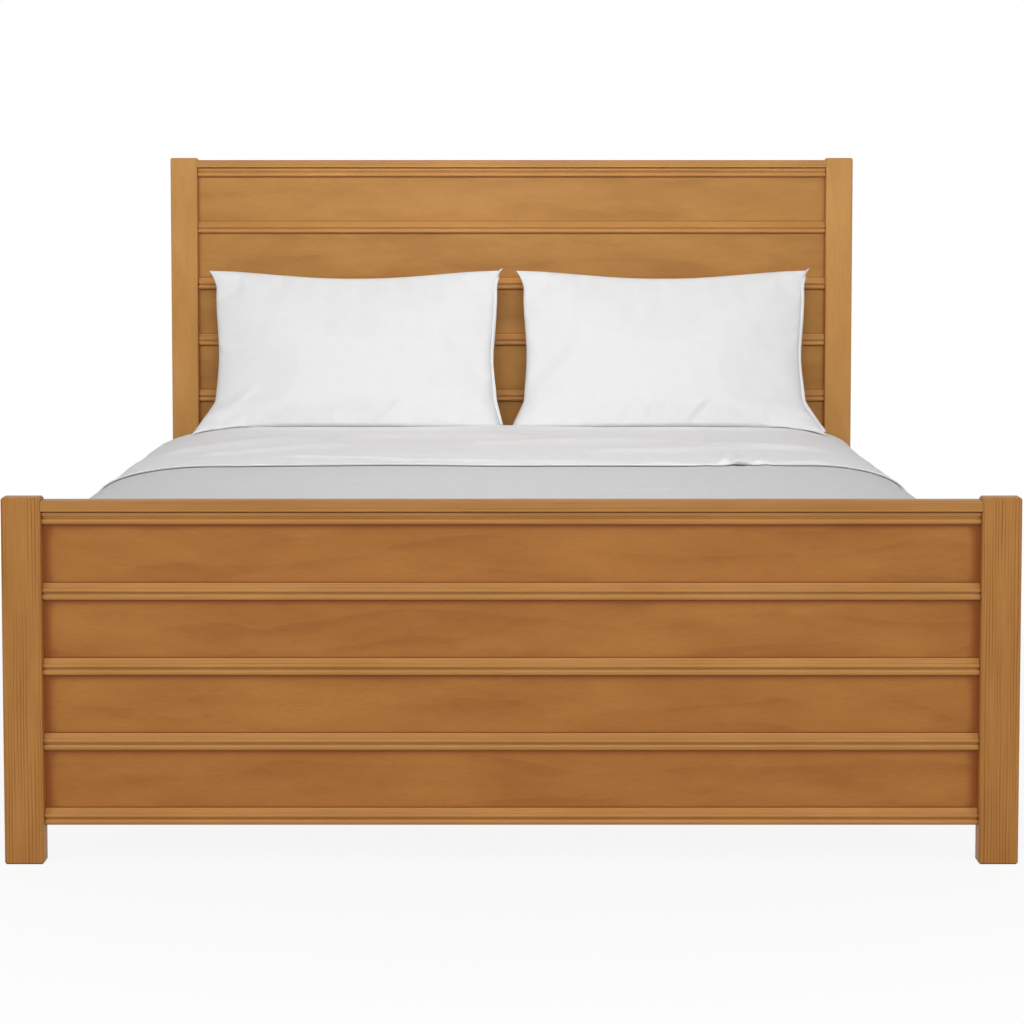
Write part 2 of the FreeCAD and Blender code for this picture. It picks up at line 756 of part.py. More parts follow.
def crown_of(cloth, start, end):
    """The cloth over the top of the bed and round its shoulders."""
    inner, outer = over_line(cloth, start, 0), over_line(cloth, start, cloth.thickness)
    low, half = cloth.top - cloth.shoulder, cloth.half
    closing = []
    for side in (LEFT, RIGHT):
        near, far = Vector(side * half, start, low), Vector(side * (half + cloth.thickness), start, low)
        closing.append(Part.LineSegment(near, far).toShape())
    section = Part.Wire(Part.__sortEdges__(inner + outer + closing))
    return Part.Face(section).extrude(Vector(0, end - start, 0))


def fold_edge(x, z, places, rises):
    """A cloth's edge in plan: arcs that swing out and in, or straight where they have no rise."""
    edges = []
    for near, far, rise in zip(places, places[1:], rises):
        start, end = Vector(x, near, z), Vector(x, far, z)
        middle = (start + end) / 2 + Vector(rise, 0, 0)
        curve = Part.Arc(start, middle, end) if rise else Part.LineSegment(start, end)
        edges.append(curve.toShape())
    return edges


def drop_of(cloth, side, start, end, rise):
    """One side's drop, straight at the shoulder and swinging out and in at the hem."""
    count = 2 * max(1, round((end - start) / d.fold_pitch.value)) if rise else 1
    places = [start + (end - start) * number / count for number in range(count + 1)]
    swings = [rise * (-1) ** number for number in range(count)]
    wires = []
    shoulder = (cloth.top - cloth.shoulder, 0, [0] * count)
    hem = (cloth.hem, cloth.spread, swings)
    for z, out, rises in (shoulder, hem):
        inner, outer = side * (cloth.half + out), side * (cloth.half + out + cloth.thickness)
        ends = [Part.LineSegment(Vector(inner, y, z), Vector(outer, y, z)).toShape() for y in (start, end)]
        inside, outside = (fold_edge(x, z, places, rises) for x in (inner, outer))
        wires.append(Part.Wire(inside + [ends[1]] + outside[::-1] + [ends[0]]))
    return Part.makeLoft(wires, True, True)


def hung_cloth(cloth, start, end, rise):
    """A length of cloth hung over both sides of the bed."""
    drops = [drop_of(cloth, side, start, end, rise) for side in (LEFT, RIGHT)]
    return crown_of(cloth, start, end).fuse(drops)


def new_piece(label, shape):
    piece = doc.addObject("Part::Feature", label)
    piece.Label = label
    piece.Shape = shape
    return piece


sheet_fold = (inside_length / 2 - d.sheet_fold_reach).value
sheet_hem_place = (inside_length / 2 - d.sheet_hem_reach).value
blanket_cloth = new_cloth(Size("0", 0), d.blanket_thickness, d.blanket_hem, d.cover_spread, d.fold_rise)
sheet_lift = d.blanket_thickness + d.cover_gap
shoulder_foot = mattress_top - d.mattress_edge
drop_share = (shoulder_foot - d.sheet_hem) / (shoulder_foot - d.blanket_hem)
sheet_spread = d.cover_spread * drop_share + d.sheet_fold_rise + d.cover_gap
sheet_cloth = new_cloth(sheet_lift, d.sheet_thickness, d.sheet_hem, sheet_spread, d.sheet_fold_rise)


def make_blanket():
    """The grey blanket, tucked down between mattress and footboard and hung over both side rails."""
    cloth = blanket_cloth
    foot = mattress_foot.value - d.cover_gap.value
    half = cloth.half - cloth.shoulder
    low = cloth.top + cloth.thickness - d.blanket_tuck.value
    corner = Vector(-half, foot - cloth.thickness, low)
    tuck = Part.makeBox(2 * half, cloth.thickness, d.blanket_tuck.value, corner)
    shown = hung_cloth(cloth, foot, sheet_hem_place, cloth.rise)
    under_sheet = hung_cloth(cloth, sheet_hem_place, sheet_fold, 0)
    return new_piece("blanket", tuck.fuse([shown, under_sheet]).removeSplitter())


def make_top_sheet():
    """The white sheet, turned down over the blanket, with a lip round the blanket's upper edge."""
    cloth = sheet_cloth
    end = sheet_fold + d.cover_gap.value
    half = cloth.half - cloth.shoulder
    low = (mattress_top + d.cover_gap).value
    height = cloth.top + cloth.thickness - low
    lip = Part.makeBox(2 * half, cloth.thickness, height, Vector(-half, end, low))
    shown = hung_cloth(cloth, sheet_hem_place, end, cloth.rise)
    return new_piece("top_sheet", shown.fuse(lip).removeSplitter())


PILLOW_STATIONS = 9
pillow_width = d.mattress_width / 2 - d.pillow_margin
pillow_offset = (pillow_width + d.pillow_gap) / 2


def pillow_section(height_share):
    """A lens across the pillow, fullest below its middle and drawn in at its sides between the corners."""
    rising = asin(d.pillow_foot_share.value) / pi
    swell = sin(pi * (rising + (1 - rising) * height_share))
    swell = max(swell, d.pillow_seam_share.value)
    drawn = 4 * height_share * (1 - height_share)
    half = pillow_width.value / 2 - d.pillow_draw.value * drawn
    z = d.pillow_height.value * height_share
    front = d.pillow_front.value * swell
    back = (d.pillow_thickness - d.pillow_front).value * swell
    left, right = Vector(-half, 0, z), Vector(half, 0, z)
    arcs = [Part.Arc(left, Vector(0, -front, z), right), Part.Arc(right, Vector(0, back, z), left)]
    return Part.Wire([arc.toShape() for arc in arcs])


def make_pillow(side):
    """A pillow stood on the mattress and leaning on the headboard, with ears at its upper corners."""
    sections = [pillow_section(number / PILLOW_STATIONS) for number in range(PILLOW_STATIONS + 1)]
    form = Part.makeLoft(sections, True, True)
    half, dip = pillow_width.value / 2, d.pillow_dip.value
    radius = (half ** 2 + dip ** 2) / (2 * dip)
    deep = 4 * d.pillow_thickness.value
    middle = Vector(0, -deep / 2, d.pillow_height.value - dip + radius)
    form = form.cut(Part.makeCylinder(radius, deep, middle, Vector(0, 1, 0)))
    form.rotate(Vector(0, 0, 0), Vector(1, 0, 0), -d.pillow_lean.value)
    box = form.optimalBoundingBox(True, False)
    y = inside_length.value / 2 - d.pillow_clearance.value - box.YMax
    z = mattress_top.value + d.cover_gap.value - d.pillow_settle.value - box.ZMin
    pillow = new_piece(f"pillow_{SIDE_NAME[side]}", form)
    pillow.Placement = Placement(Vector(side * pillow_offset.value, y, z), Rotation())
    return pillow


# The whole bed

pieces = make_end(HEAD) + make_end(FOOT)
for side in (LEFT, RIGHT):
    pieces += [make_side_rail(side), make_ledger(side)]
pieces += [make_slat(number) for number in slat_numbers]
pieces += [make_tape(side) for side in (LEFT, RIGHT)]
pieces.append(make_centre_rail())
pieces += [make_leg(name, way) for name, way in leg_places.items()]
pieces.append(grouped("hook_plates", at_corners(make_hook_plate_form(), hook_face)))
pieces.append(grouped("receiver_plates", at_corners(make_receiver_form(), d.plate_thickness)))
pieces.append(grouped("slat_screws", slat_screws()))
pieces.append(grouped("leg_bolts", leg_bolts()))
pieces.append(grouped("leg_nuts", leg_nuts()))
pieces += [make_mattress(), make_blanket(), make_top_sheet()]
pieces += [make_pillow(side) for side in (LEFT, RIGHT)]
doc.recompute()

for thing in doc.Objects:
    if {"Invalid", "Error"} & set(thing.State):
        raise RuntimeError(f"{thing.Label} failed: {thing.State}")
for piece in pieces:
    if piece.Shape.isNull() or not piece.Shape.isValid():
        raise RuntimeError(f"{piece.Label} has no valid shape")

os.makedirs("parts", exist_ok=True)
for piece in pieces:
    piece.Shape.exportStep(f"parts/{piece.Label}.step")
print(f"{len(pieces)} pieces written")
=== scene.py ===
# %% [markdown]
# # A made-up platform bed in stained pine
#
# The bed's solids come packed from the CAD model: posts, beaded rails, panels, slats and hardware, all in one
# frame in metres. +X is the right side seen from the foot, +Y runs from foot to head, +Z is up.
# This lesson gives those solids their wood and steel, and makes the soft things again as soft things:
# mattress, blanket, turned-down sheet and pillows.

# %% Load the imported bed
import math

import bmesh
import bpy
import numpy as np
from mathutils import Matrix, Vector, noise
from mathutils.bvhtree import BVHTree


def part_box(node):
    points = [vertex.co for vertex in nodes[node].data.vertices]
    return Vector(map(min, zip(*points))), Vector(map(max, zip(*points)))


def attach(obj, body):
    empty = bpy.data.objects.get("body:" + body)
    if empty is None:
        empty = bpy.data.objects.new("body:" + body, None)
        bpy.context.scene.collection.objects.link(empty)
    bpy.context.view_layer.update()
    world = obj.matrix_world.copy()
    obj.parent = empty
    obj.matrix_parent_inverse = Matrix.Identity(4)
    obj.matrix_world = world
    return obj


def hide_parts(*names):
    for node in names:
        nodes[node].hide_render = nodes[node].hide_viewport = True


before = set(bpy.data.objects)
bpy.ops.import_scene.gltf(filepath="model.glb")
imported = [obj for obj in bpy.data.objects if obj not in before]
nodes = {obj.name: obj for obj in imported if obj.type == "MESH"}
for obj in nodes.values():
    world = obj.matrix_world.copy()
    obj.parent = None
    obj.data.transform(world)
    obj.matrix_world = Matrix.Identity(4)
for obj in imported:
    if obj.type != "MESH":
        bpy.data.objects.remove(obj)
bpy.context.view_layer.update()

# %% [markdown]
# ## The camera
#
# The picture was taken from straight in front of the foot, a little over a metre up, with a long lens.
# A view camera would keep the lens level and slide the film down. Half of that slide is kept here as lens
# shift, and the rest is a small tilt, so that the bed also stays in the frame when the camera goes round it.

# %% Camera
CAMERA_PLACE = (0.0009, -5.142, 1.082)
CAMERA_TILT = math.radians(3.66)
CAMERA_LENS_MM = 90.0
CAMERA_SHIFT = -0.15

lens = bpy.data.cameras.new("bed_camera")
lens.lens = CAMERA_LENS_MM
lens.sensor_width = 36.0
lens.shift_y = CAMERA_SHIFT
camera = bpy.data.objects.new("bed_camera", lens)
camera.location = CAMERA_PLACE
camera.rotation_euler = (math.radians(90) - CAMERA_TILT, 0, 0)
bpy.context.scene.collection.objects.link(camera)
bpy.context.scene.camera = camera
print("camera", CAMERA_LENS_MM, "mm, tilt", round(math.degrees(CAMERA_TILT), 2), "degrees")

# %% [markdown]
# ## Colours and nodes
#
# Colours are written the way a picture shows them, as sRGB hex, and one function makes them linear for the
# shader. One function adds a shader node with its settings and links, so that a material reads as a recipe.

# %% Two small helpers for every material
def linear(colour):
    """An sRGB hex colour as the linear RGBA that a shader socket takes."""
    shares = [int(colour[i:i + 2], 16) / 255 for i in (1, 3, 5)]
    return [s / 12.92 if s <= 0.04045 else ((s + 0.055) / 1.055) ** 2.4 for s in shares] + [1.0]


def add(tree, kind, inputs=None, **settings):
    """Adds a node; inputs gives each socket a value or another node's output."""
    made = tree.nodes.new(kind)
    for name, value in settings.items():
        setattr(made, name, value)
    for socket, value in (inputs or {}).items():
        if isinstance(value, bpy.types.NodeSocket):
            tree.links.new(value, made.inputs[socket])
        else:
            made.inputs[socket].default_value = value
    return made


def new_material(name):
    """An empty material with its shader; returns the material, its tree and the shader."""
    material = bpy.data.materials.new(name)
    material.use_nodes = True
    return material, material.node_tree, material.node_tree.nodes["Principled BSDF"]


MM = 0.001
# A Mix node has sockets of the same name for each kind of data, so the colour ones are taken by number
MIX_A, MIX_B, MIX_OUT = 6, 7, 2
# A Wave texture of this scale repeats once in a metre
WAVE = 2 * math.pi / 20
print("white is", [round(c, 3) for c in linear("#FFFFFF")])

# %% [markdown]
# ## Floor and air
#
# The bed stands on a plain pale paper sweep. Lit like the bed, paper comes out grey in a picture, so the
# camera and the reflections see it almost white by itself. A tenth of its own shading is left in near the
# bed, and that tenth keeps a faint shade under the feet. The air round the bed works the same way: it is
# white to look at and gives only a weak, even light.

# %% Floor and air
FLOOR_HALF = 30.0
FLOOR_NEAR, FLOOR_FAR = 1.2, 2.4
FLOOR_WHITE = 0.90
AIR_STRENGTH = 0.34


def seen_directly(tree):
    """1 for what the camera or a reflection sees, 0 for the light that falls on the bed."""
    paths = add(tree, "ShaderNodeLightPath")
    return add(tree, "ShaderNodeMath", {0: paths.outputs["Is Camera Ray"], 1: paths.outputs["Is Glossy Ray"]},
               operation="MAXIMUM").outputs[0]


def make_floor():
    mesh = bpy.data.meshes.new("studio_floor")
    corners = [(FLOOR_HALF * x, FLOOR_HALF * y, 0) for x, y in ((-1, -1), (1, -1), (1, 1), (-1, 1))]
    mesh.from_pydata(corners, [], [(0, 1, 2, 3)])
    floor = bpy.data.objects.new("studio_floor", mesh)
    bpy.context.scene.collection.objects.link(floor)
    material, tree, paint = new_material("white_paper_sweep")
    paint.inputs["Base Color"].default_value = linear("#F2F2F1")
    paint.inputs["Roughness"].default_value = 0.9
    paint.inputs["Specular IOR Level"].default_value = 0.1
    place = add(tree, "ShaderNodeTexCoord").outputs["Object"]
    away = add(tree, "ShaderNodeVectorMath", {0: place}, operation="LENGTH")
    bright = add(tree, "ShaderNodeMapRange",
                 {"Value": away.outputs["Value"], "From Min": FLOOR_NEAR, "From Max": FLOOR_FAR,
                  "To Min": FLOOR_WHITE, "To Max": 1.0}, interpolation_type="SMOOTHSTEP")
    part = add(tree, "ShaderNodeMath", {0: seen_directly(tree), 1: bright.outputs[0]}, operation="MULTIPLY")
    glow = add(tree, "ShaderNodeEmission", {"Color": linear("#FFFFFF"), "Strength": 1.0})
    both = add(tree, "ShaderNodeMixShader", {0: part.outputs[0], 1: paint.outputs[0], 2: glow.outputs[0]})
    tree.links.new(both.outputs[0], tree.nodes["Material Output"].inputs["Surface"])
    floor.data.materials.append(material)


def make_sky(strength):
    world = bpy.data.worlds.new("studio_air")
    world.use_nodes = True
    tree = world.node_tree
    tree.nodes.clear()
    soft = add(tree, "ShaderNodeBackground", {"Color": linear("#FFFFFF"), "Strength": strength})
    white = add(tree, "ShaderNodeBackground", {"Color": linear("#FFFFFF"), "Strength": 1.0})
    both = add(tree, "ShaderNodeMixShader", {0: seen_directly(tree), 1: soft.outputs[0], 2: white.outputs[0]})
    add(tree, "ShaderNodeOutputWorld", {"Surface": both.outputs[0]})
    bpy.context.scene.world = world


make_floor()
make_sky(AIR_STRENGTH)
print("floor", 2 * FLOOR_HALF, "m wide, air of strength", AIR_STRENGTH)

# %% [markdown]
# ## Lamps
#
# A product picture of furniture is lit from the front. A wide soft box hangs above the camera and shines
# between the pillows too. Two more stand on both sides, well forward, and give every post a narrow shade on
# the panel beside it. A smaller one with a grid hangs over the foot of the bed, aimed at the pillows and the
# headboard, which are further from the others.

# %% Lamps
def make_soft_box(name, place, target, width, height, watts, spread=180):
    """An area lamp aimed at a point; a spread below 180 degrees is a grid in front of it."""
    lamp = bpy.data.lights.new(name, "AREA")
    lamp.spread = math.radians(spread)
    lamp.shape = "RECTANGLE"
    lamp.size, lamp.size_y = width, height
    lamp.energy = watts
    box = bpy.data.objects.new(name, lamp)
    box.location = place
    box.visible_camera = False
    box.rotation_euler = (Vector(target) - Vector(place)).to_track_quat("-Z", "Y").to_euler()
    bpy.context.scene.collection.objects.link(box)


make_soft_box("left_box", (-2.85, -3.1, 2.8), (-0.2, 0.0, 0.5), 1.0, 1.0, 28)
make_soft_box("right_box", (2.85, -3.1, 2.8), (0.2, 0.0, 0.5), 1.0, 1.0, 27)
make_soft_box("front_box", (0, -5.4, 2.2), (0, 0.0, 0.6), 2.5, 1.2, 52)
make_soft_box("head_box", (0, -1.15, 1.8), (0, 1.0, 0.75), 1.4, 0.8, 9.0, spread=115)
bpy.context.scene.view_settings.view_transform = "Standard"

# %% [markdown]
# ## Stained pine
#
# Posts, caps, mouldings and side rails are solid pine, planed, rubbed with a honey stain and lacquered satin.
# The eye sees a cloudy honey tone, thin lines of darker late wood in some places and none in others, and a
# deeper tone in the quirks beside the beads: painted shade, with some stain gathered there. A few helpers
# make
# what all wood needs: noise drawn out along the grain, a place in the log for every board by a random offset
# of its object, painted shade and stain in corners, painted highlight and wear on edges, and the finish over
# it all.

# %% Helpers for wood
def grain_scale(along, squeeze):
    """Squeezes space along the grain, so that any pattern is drawn out that way."""
    return tuple(squeeze if axis == along else 1.0 for axis in "XYZ")


def drawn_noise(tree, place, along, size_mm, squeeze, detail):
    """Noise of a size across the grain, drawn out along it; its value lies about one half."""
    space = add(tree, "ShaderNodeVectorMath", {0: place, 1: grain_scale(along, squeeze)},
                operation="MULTIPLY").outputs[0]
    return add(tree, "ShaderNodeTexNoise", {"Vector": space, "Scale": 1 / (size_mm * MM), "Detail": detail,
                                            "Roughness": 0.58}).outputs["Fac"]


def board_place(tree):
    """Places in the board, moved by a random offset of its object so that no two boards are alike."""
    place = add(tree, "ShaderNodeTexCoord").outputs["Object"]
    board = add(tree, "ShaderNodeObjectInfo").outputs["Random"]
    shift = add(tree, "ShaderNodeVectorMath", {0: (7.3, 5.1, 3.7), "Scale": board}, operation="SCALE")
    return add(tree, "ShaderNodeVectorMath", {0: place, 1: shift.outputs[0]}, operation="ADD").outputs[0]


def darken_corners_shade_and_stain(tree, colour, quirk, reach_mm, open_low, open_high, most):
    """Darkens the tone in corners by ambient occlusion: painted shade, with some stain that gathers there."""
    hollow = add(tree, "ShaderNodeAmbientOcclusion", {"Distance": reach_mm * MM}, samples=8)
    share = add(tree, "ShaderNodeMapRange", {"Value": hollow.outputs["AO"], "From Min": open_low,
                                             "From Max": open_high, "To Min": most, "To Max": 0.0},
                interpolation_type="SMOOTHSTEP")
    return add(tree, "ShaderNodeMix", {"Factor": share.outputs[0], MIX_A: colour, MIX_B: linear(quirk)},
               data_type="RGBA").outputs[MIX_OUT]


def pale_edges_highlight_and_wear(tree, colour, pale, reach_mm, most):
    """Pales the arrises and the crests of the beads: a painted highlight, and wear where sanding has taken
    stain off.
    """
    thin = add(tree, "ShaderNodeAmbientOcclusion", {"Distance": reach_mm * MM}, samples=6, inside=True,
               only_local=True)
    share = add(tree, "ShaderNodeMapRange", {"Value": thin.outputs["AO"], "From Min": 0.55, "From Max": 0.9,
                                             "To Min": most, "To Max": 0.0}, interpolation_type="SMOOTHSTEP")
    return add(tree, "ShaderNodeMix", {"Factor": share.outputs[0], MIX_A: colour, MIX_B: linear(pale)},
               data_type="RGBA").outputs[MIX_OUT]


def finish_wood(tree, lacquer, colour, fibres, smooth, rough, strength, depth_mm):
    """The finish over the colour; the fibres show through in its gloss and its surface."""
    tree.links.new(colour, lacquer.inputs["Base Color"])
    gloss = add(tree, "ShaderNodeMapRange", {"Value": fibres, "To Min": smooth, "To Max": rough})
    tree.links.new(gloss.outputs[0], lacquer.inputs["Roughness"])
    grain = add(tree, "ShaderNodeBump", {"Height": fibres, "Strength": strength, "Distance": depth_mm * MM})
    tree.links.new(grain.outputs[0], lacquer.inputs["Normal"])
    lacquer.inputs["IOR"].default_value = 1.5
    lacquer.inputs["Specular IOR Level"].default_value = 0.3


print("grain along X squeezes space by", grain_scale("X", 0.1))

# %% [markdown]
# The late wood is rings round an axis far outside the board, which gives nearly straight lines. A broad noise
# says where lines show at all. Fine fibres streak the colour, the gloss and the surface.

# %% Stained pine
GRAIN_SQUEEZE = 0.035
FIBRE_MM, FIBRE_LENGTH_MM = 1.1, 60
BLOTCH_MM = 70
ZONE_MM = 22
# Painted shade and stain: corners and quirks are darkened towards this tone by ambient occlusion.
QUIRK_SHADE_AND_STAIN, QUIRK_MM, QUIRK_OPEN, QUIRK_MOST = "#6B3410", 4.5, (0.50, 0.80), 0.88
# Painted highlight and wear: arrises and bead crests are paled towards this tone.
EDGE_HIGHLIGHT_AND_WEAR, EDGE_PALE_MM, EDGE_PALE_MOST = "#DDA96A", 3, 0.4


def make_pine(name, along, pale, body, late, ring_mm, lines, quirk=QUIRK_SHADE_AND_STAIN, edge_pale_tone=EDGE_HIGHLIGHT_AND_WEAR,
              roughness=0.46):
    """Solid pine with its grain along an axis; lines is how strongly the late wood shows."""
    material, tree, lacquer = new_material(name)
    inside = board_place(tree)
    log = add(tree, "ShaderNodeVectorMath", {0: inside, 1: grain_scale(along, GRAIN_SQUEEZE)},
              operation="MULTIPLY").outputs[0]
    rings = add(tree, "ShaderNodeTexWave",
                {"Vector": log, "Scale": WAVE / (ring_mm * MM), "Distortion": 7.0, "Detail": 2.0,
                 "Detail Scale": 0.7, "Detail Roughness": 0.55},
                wave_type="RINGS", rings_direction=along, wave_profile="SAW")
    zones = add(tree, "ShaderNodeMapRange",
                {"Value": drawn_noise(tree, inside, along, ZONE_MM, 0.06, 1.0), "From Min": 0.4,
                 "From Max": 0.6, "To Max": lines})
    thin = add(tree, "ShaderNodeMapRange", {"Value": rings.outputs["Fac"], "From Min": 0.5, "From Max": 1.0},
               interpolation_type="SMOOTHSTEP")
    late_wood = add(tree, "ShaderNodeMath", {0: thin.outputs[0], 1: zones.outputs[0]}, operation="MULTIPLY")
    blotches = drawn_noise(tree, inside, along, BLOTCH_MM, 0.3, 3.0)
    tone = add(tree, "ShaderNodeMapRange", {"Value": blotches, "From Min": 0.3, "From Max": 0.7})
    fibres = drawn_noise(tree, inside, along, FIBRE_MM, FIBRE_MM / FIBRE_LENGTH_MM, 2.0)
    streak = add(tree, "ShaderNodeMapRange",
                 {"Value": fibres, "From Min": 0.35, "From Max": 0.75, "To Min": 1.05, "To Max": 0.92})
    ground = add(tree, "ShaderNodeMix", {"Factor": tone.outputs[0], MIX_A: linear(body), MIX_B: linear(pale)},
                 data_type="RGBA").outputs[MIX_OUT]
    lined = add(tree, "ShaderNodeMix", {"Factor": late_wood.outputs[0], MIX_A: ground, MIX_B: linear(late)},
                data_type="RGBA").outputs[MIX_OUT]
    fibred = add(tree, "ShaderNodeVectorMath", {0: lined, "Scale": streak.outputs[0]}, operation="SCALE")
    # Painted highlight and wear: arrises and bead crests are paled.
    rubbed = pale_edges_highlight_and_wear(tree, fibred.outputs[0], edge_pale_tone, EDGE_PALE_MM, EDGE_PALE_MOST)
    # Painted shade and stain: the quirks are darkened by ambient occlusion.
    stained = darken_corners_shade_and_stain(tree, rubbed, quirk, QUIRK_MM, *QUIRK_OPEN, QUIRK_MOST)
    finish_wood(tree, lacquer, stained, fibres, roughness - 0.05, roughness + 0.07, 0.12, 0.25)
    return material


print("fibres", FIBRE_MM, "mm wide and", FIBRE_LENGTH_MM, "mm long")

# %% [markdown]
# The headboard's pine is painted a shade paler and yellower than the footboard's: painted light, for the
# brighter light that reaches the headboard. So each kind of board gets a pine of its own, and the start of a
# node's name says which kind it is.

# %% Pine for every kind of board
RAIL_ROUGHNESS = 0.42
PINE = {
    "foot_post": make_pine("stained_pine_foot_post", "Z", "#BE8441", "#AE7433", "#824817", 4.6, 0.75),
    # Painted light: the head post's tones are paler and yellower than the foot post's.
    "head_post": make_pine("stained_pine_head_post", "Z", "#C6904C", "#B6803D", "#93591F", 5.2, 0.12),
    "cap": make_pine("stained_pine_cap", "X", "#BD8543", "#B17A39", "#8F5620", 6.0, 0.35),
    "foot_rail": make_pine("stained_pine_foot_rail", "X", "#C78F4D", "#BB8240", "#9B6129", 6.0, 0.40,
                           roughness=RAIL_ROUGHNESS),
    "head_rail": make_pine("stained_pine_head_rail", "X", "#C68F4E", "#BA8341", "#9C632A", 6.0, 0.35,
                           roughness=RAIL_ROUGHNESS),
    "side_rail": make_pine("stained_pine_side_rail", "Y", "#BE8441", "#AE7433", "#8A4F1B", 5.0, 0.45),
}
for name, node in nodes.items():
    kind = "cap" if name.endswith("_cap") else next((k for k in PINE if name.startswith(k)), None)
    if kind:
        node.material_slots[0].material = PINE[kind]
print("stained pine:", [m.name for m in PINE.values()])

# %% [markdown]
# ## Veneered panels
#
# The panels are thin plywood with a sliced face veneer under the same stain. Veneer is calm: a cloudy tone, a
# wavy line here and there where the knife cut across the rings, and short dark pores. Wide bands, strongly
# bent by a slow noise, give the lines. Along their edges the panels are painted darker, most on the
# footboard:
# painted shade of the posts and rails that stand proud of them, with some stain gathered there.

# %% Stained veneer
SWIRL_MM = 58
PORE_MM, PORE_LENGTH_MM = 1.0, 14
PANEL_EDGE_SHADE_AND_STAIN, EDGE_OPEN = "#8E4412", (0.70, 0.88)


def make_veneer(name, pale, body, dark, edge_mm, edge_most):
    """Sliced veneer with its grain along X; the edge values say how far and how much the edges are darkened,
    as painted shade with some stain.
    """
    material, tree, lacquer = new_material(name)
    inside = board_place(tree)
    slow = add(tree, "ShaderNodeVectorMath", {0: inside, 1: grain_scale("X", 0.25)}, operation="MULTIPLY")
    swirls = add(tree, "ShaderNodeTexWave",
                 {"Vector": slow.outputs[0], "Scale": WAVE / (SWIRL_MM * MM), "Distortion": 9.0,
                  "Detail": 2.0, "Detail Scale": 1.7, "Detail Roughness": 0.45},
                 wave_type="BANDS", bands_direction="Z", wave_profile="SAW")
    clouds = drawn_noise(tree, inside, "X", 60, 0.3, 3.0)
    tone = add(tree, "ShaderNodeMapRange", {"Value": clouds, "From Min": 0.3, "From Max": 0.7})
    here = add(tree, "ShaderNodeMapRange",
               {"Value": clouds, "From Min": 0.62, "From Max": 0.42, "To Max": 0.24})
    edge = add(tree, "ShaderNodeMapRange", {"Value": swirls.outputs["Fac"], "From Min": 0.5, "From Max": 1.0},
               interpolation_type="SMOOTHSTEP")
    figure = add(tree, "ShaderNodeMath", {0: edge.outputs[0], 1: here.outputs[0]}, operation="MULTIPLY")
    pores = drawn_noise(tree, inside, "X", PORE_MM, PORE_MM / PORE_LENGTH_MM, 1.0)
    speck = add(tree, "ShaderNodeMapRange",
                {"Value": pores, "From Min": 0.5, "From Max": 0.8, "To Min": 1.02, "To Max": 0.86})
    ground = add(tree, "ShaderNodeMix", {"Factor": tone.outputs[0], MIX_A: linear(body), MIX_B: linear(pale)},
                 data_type="RGBA").outputs[MIX_OUT]
    figured = add(tree, "ShaderNodeMix", {"Factor": figure.outputs[0], MIX_A: ground, MIX_B: linear(dark)},
                  data_type="RGBA").outputs[MIX_OUT]
    pored = add(tree, "ShaderNodeVectorMath", {0: figured, "Scale": speck.outputs[0]}, operation="SCALE")
    # Painted shade and stain along the panel's edges, by ambient occlusion.
    stained = darken_corners_shade_and_stain(tree, pored.outputs[0], PANEL_EDGE_SHADE_AND_STAIN, edge_mm, *EDGE_OPEN, edge_most)
    finish_wood(tree, lacquer, stained, pores, 0.42, 0.54, 0.08, 0.2)
    return material


VENEER = {
    # The edge values are painted shade of the posts: wide and strong on the footboard, narrow on the
    # headboard.
    "foot_panel": make_veneer("stained_veneer_foot", "#B87A37", "#A86A2B", "#8C5020", 24, 0.82),
    # Painted light: the head panels' tones are paler and yellower than the foot panels'.
    "head_panel": make_veneer("stained_veneer_head", "#B9843F", "#A97432", "#935E26", 7, 0.7),
}
for name, node in nodes.items():
    for kind, material in VENEER.items():
        if name.startswith(kind):
            node.material_slots[0].material = material
print("veneer on", sum("_panel_" in n for n in nodes), "panels")

# %% [markdown]
# ## Bare pine, zinc and webbing
#
# What lies under the mattress is left unfinished: slats, ledgers, centre rail and legs are planed pine
# without stain. They use the same recipe as the stained boards, in paler tones.

# %% Bare pine
# quirk is the tone of the painted shade in corners, and pale also paints the highlight on the edges.
BARE = {"pale": "#E3C797", "body": "#D9B981", "late": "#B98C52", "quirk": "#A67C48"}
bare_pine = {along: make_pine(f"planed_pine_{along.lower()}", along, BARE["pale"], BARE["body"], BARE["late"],
                              6.5, 0.6, BARE["quirk"], BARE["pale"], 0.62) for along in "XYZ"}
for name, node in nodes.items():
    if name.startswith("slat_") and name[-2:].isdigit():
        node.material_slots[0].material = bare_pine["X"]
    elif name.startswith("ledger") or name == "centre_rail":
        node.material_slots[0].material = bare_pine["Y"]
    elif name.startswith("centre_leg"):
        node.material_slots[0].material = bare_pine["Z"]
print("bare pine along", list(bare_pine))

# %% [markdown]
# Plates, screws, bolts and nuts are zinc-plated steel. Zinc is a bright metal that has gone a little dull,
# and its small crystals change the gloss from place to place.

# %% Zinc-plated steel
SPANGLE_MM = 3.0


def make_zinc(name, colour, dull):
    material, tree, metal = new_material(name)
    place = add(tree, "ShaderNodeTexCoord").outputs["Object"]
    spangle = add(tree, "ShaderNodeTexVoronoi", {"Vector": place, "Scale": 1 / (SPANGLE_MM * MM)})
    film = add(tree, "ShaderNodeTexNoise", {"Vector": place, "Scale": 1 / (12 * MM), "Detail": 3.0})
    tint = add(tree, "ShaderNodeMix",
               {"Factor": film.outputs["Fac"], MIX_A: linear(colour), MIX_B: linear(dull)}, data_type="RGBA")
    tree.links.new(tint.outputs[MIX_OUT], metal.inputs["Base Color"])
    patchy = add(tree, "ShaderNodeMapRange",
                 {"Value": spangle.outputs["Distance"], "To Min": 0.3, "To Max": 0.46})
    tree.links.new(patchy.outputs[0], metal.inputs["Roughness"])
    metal.inputs["Metallic"].default_value = 1.0
    return material


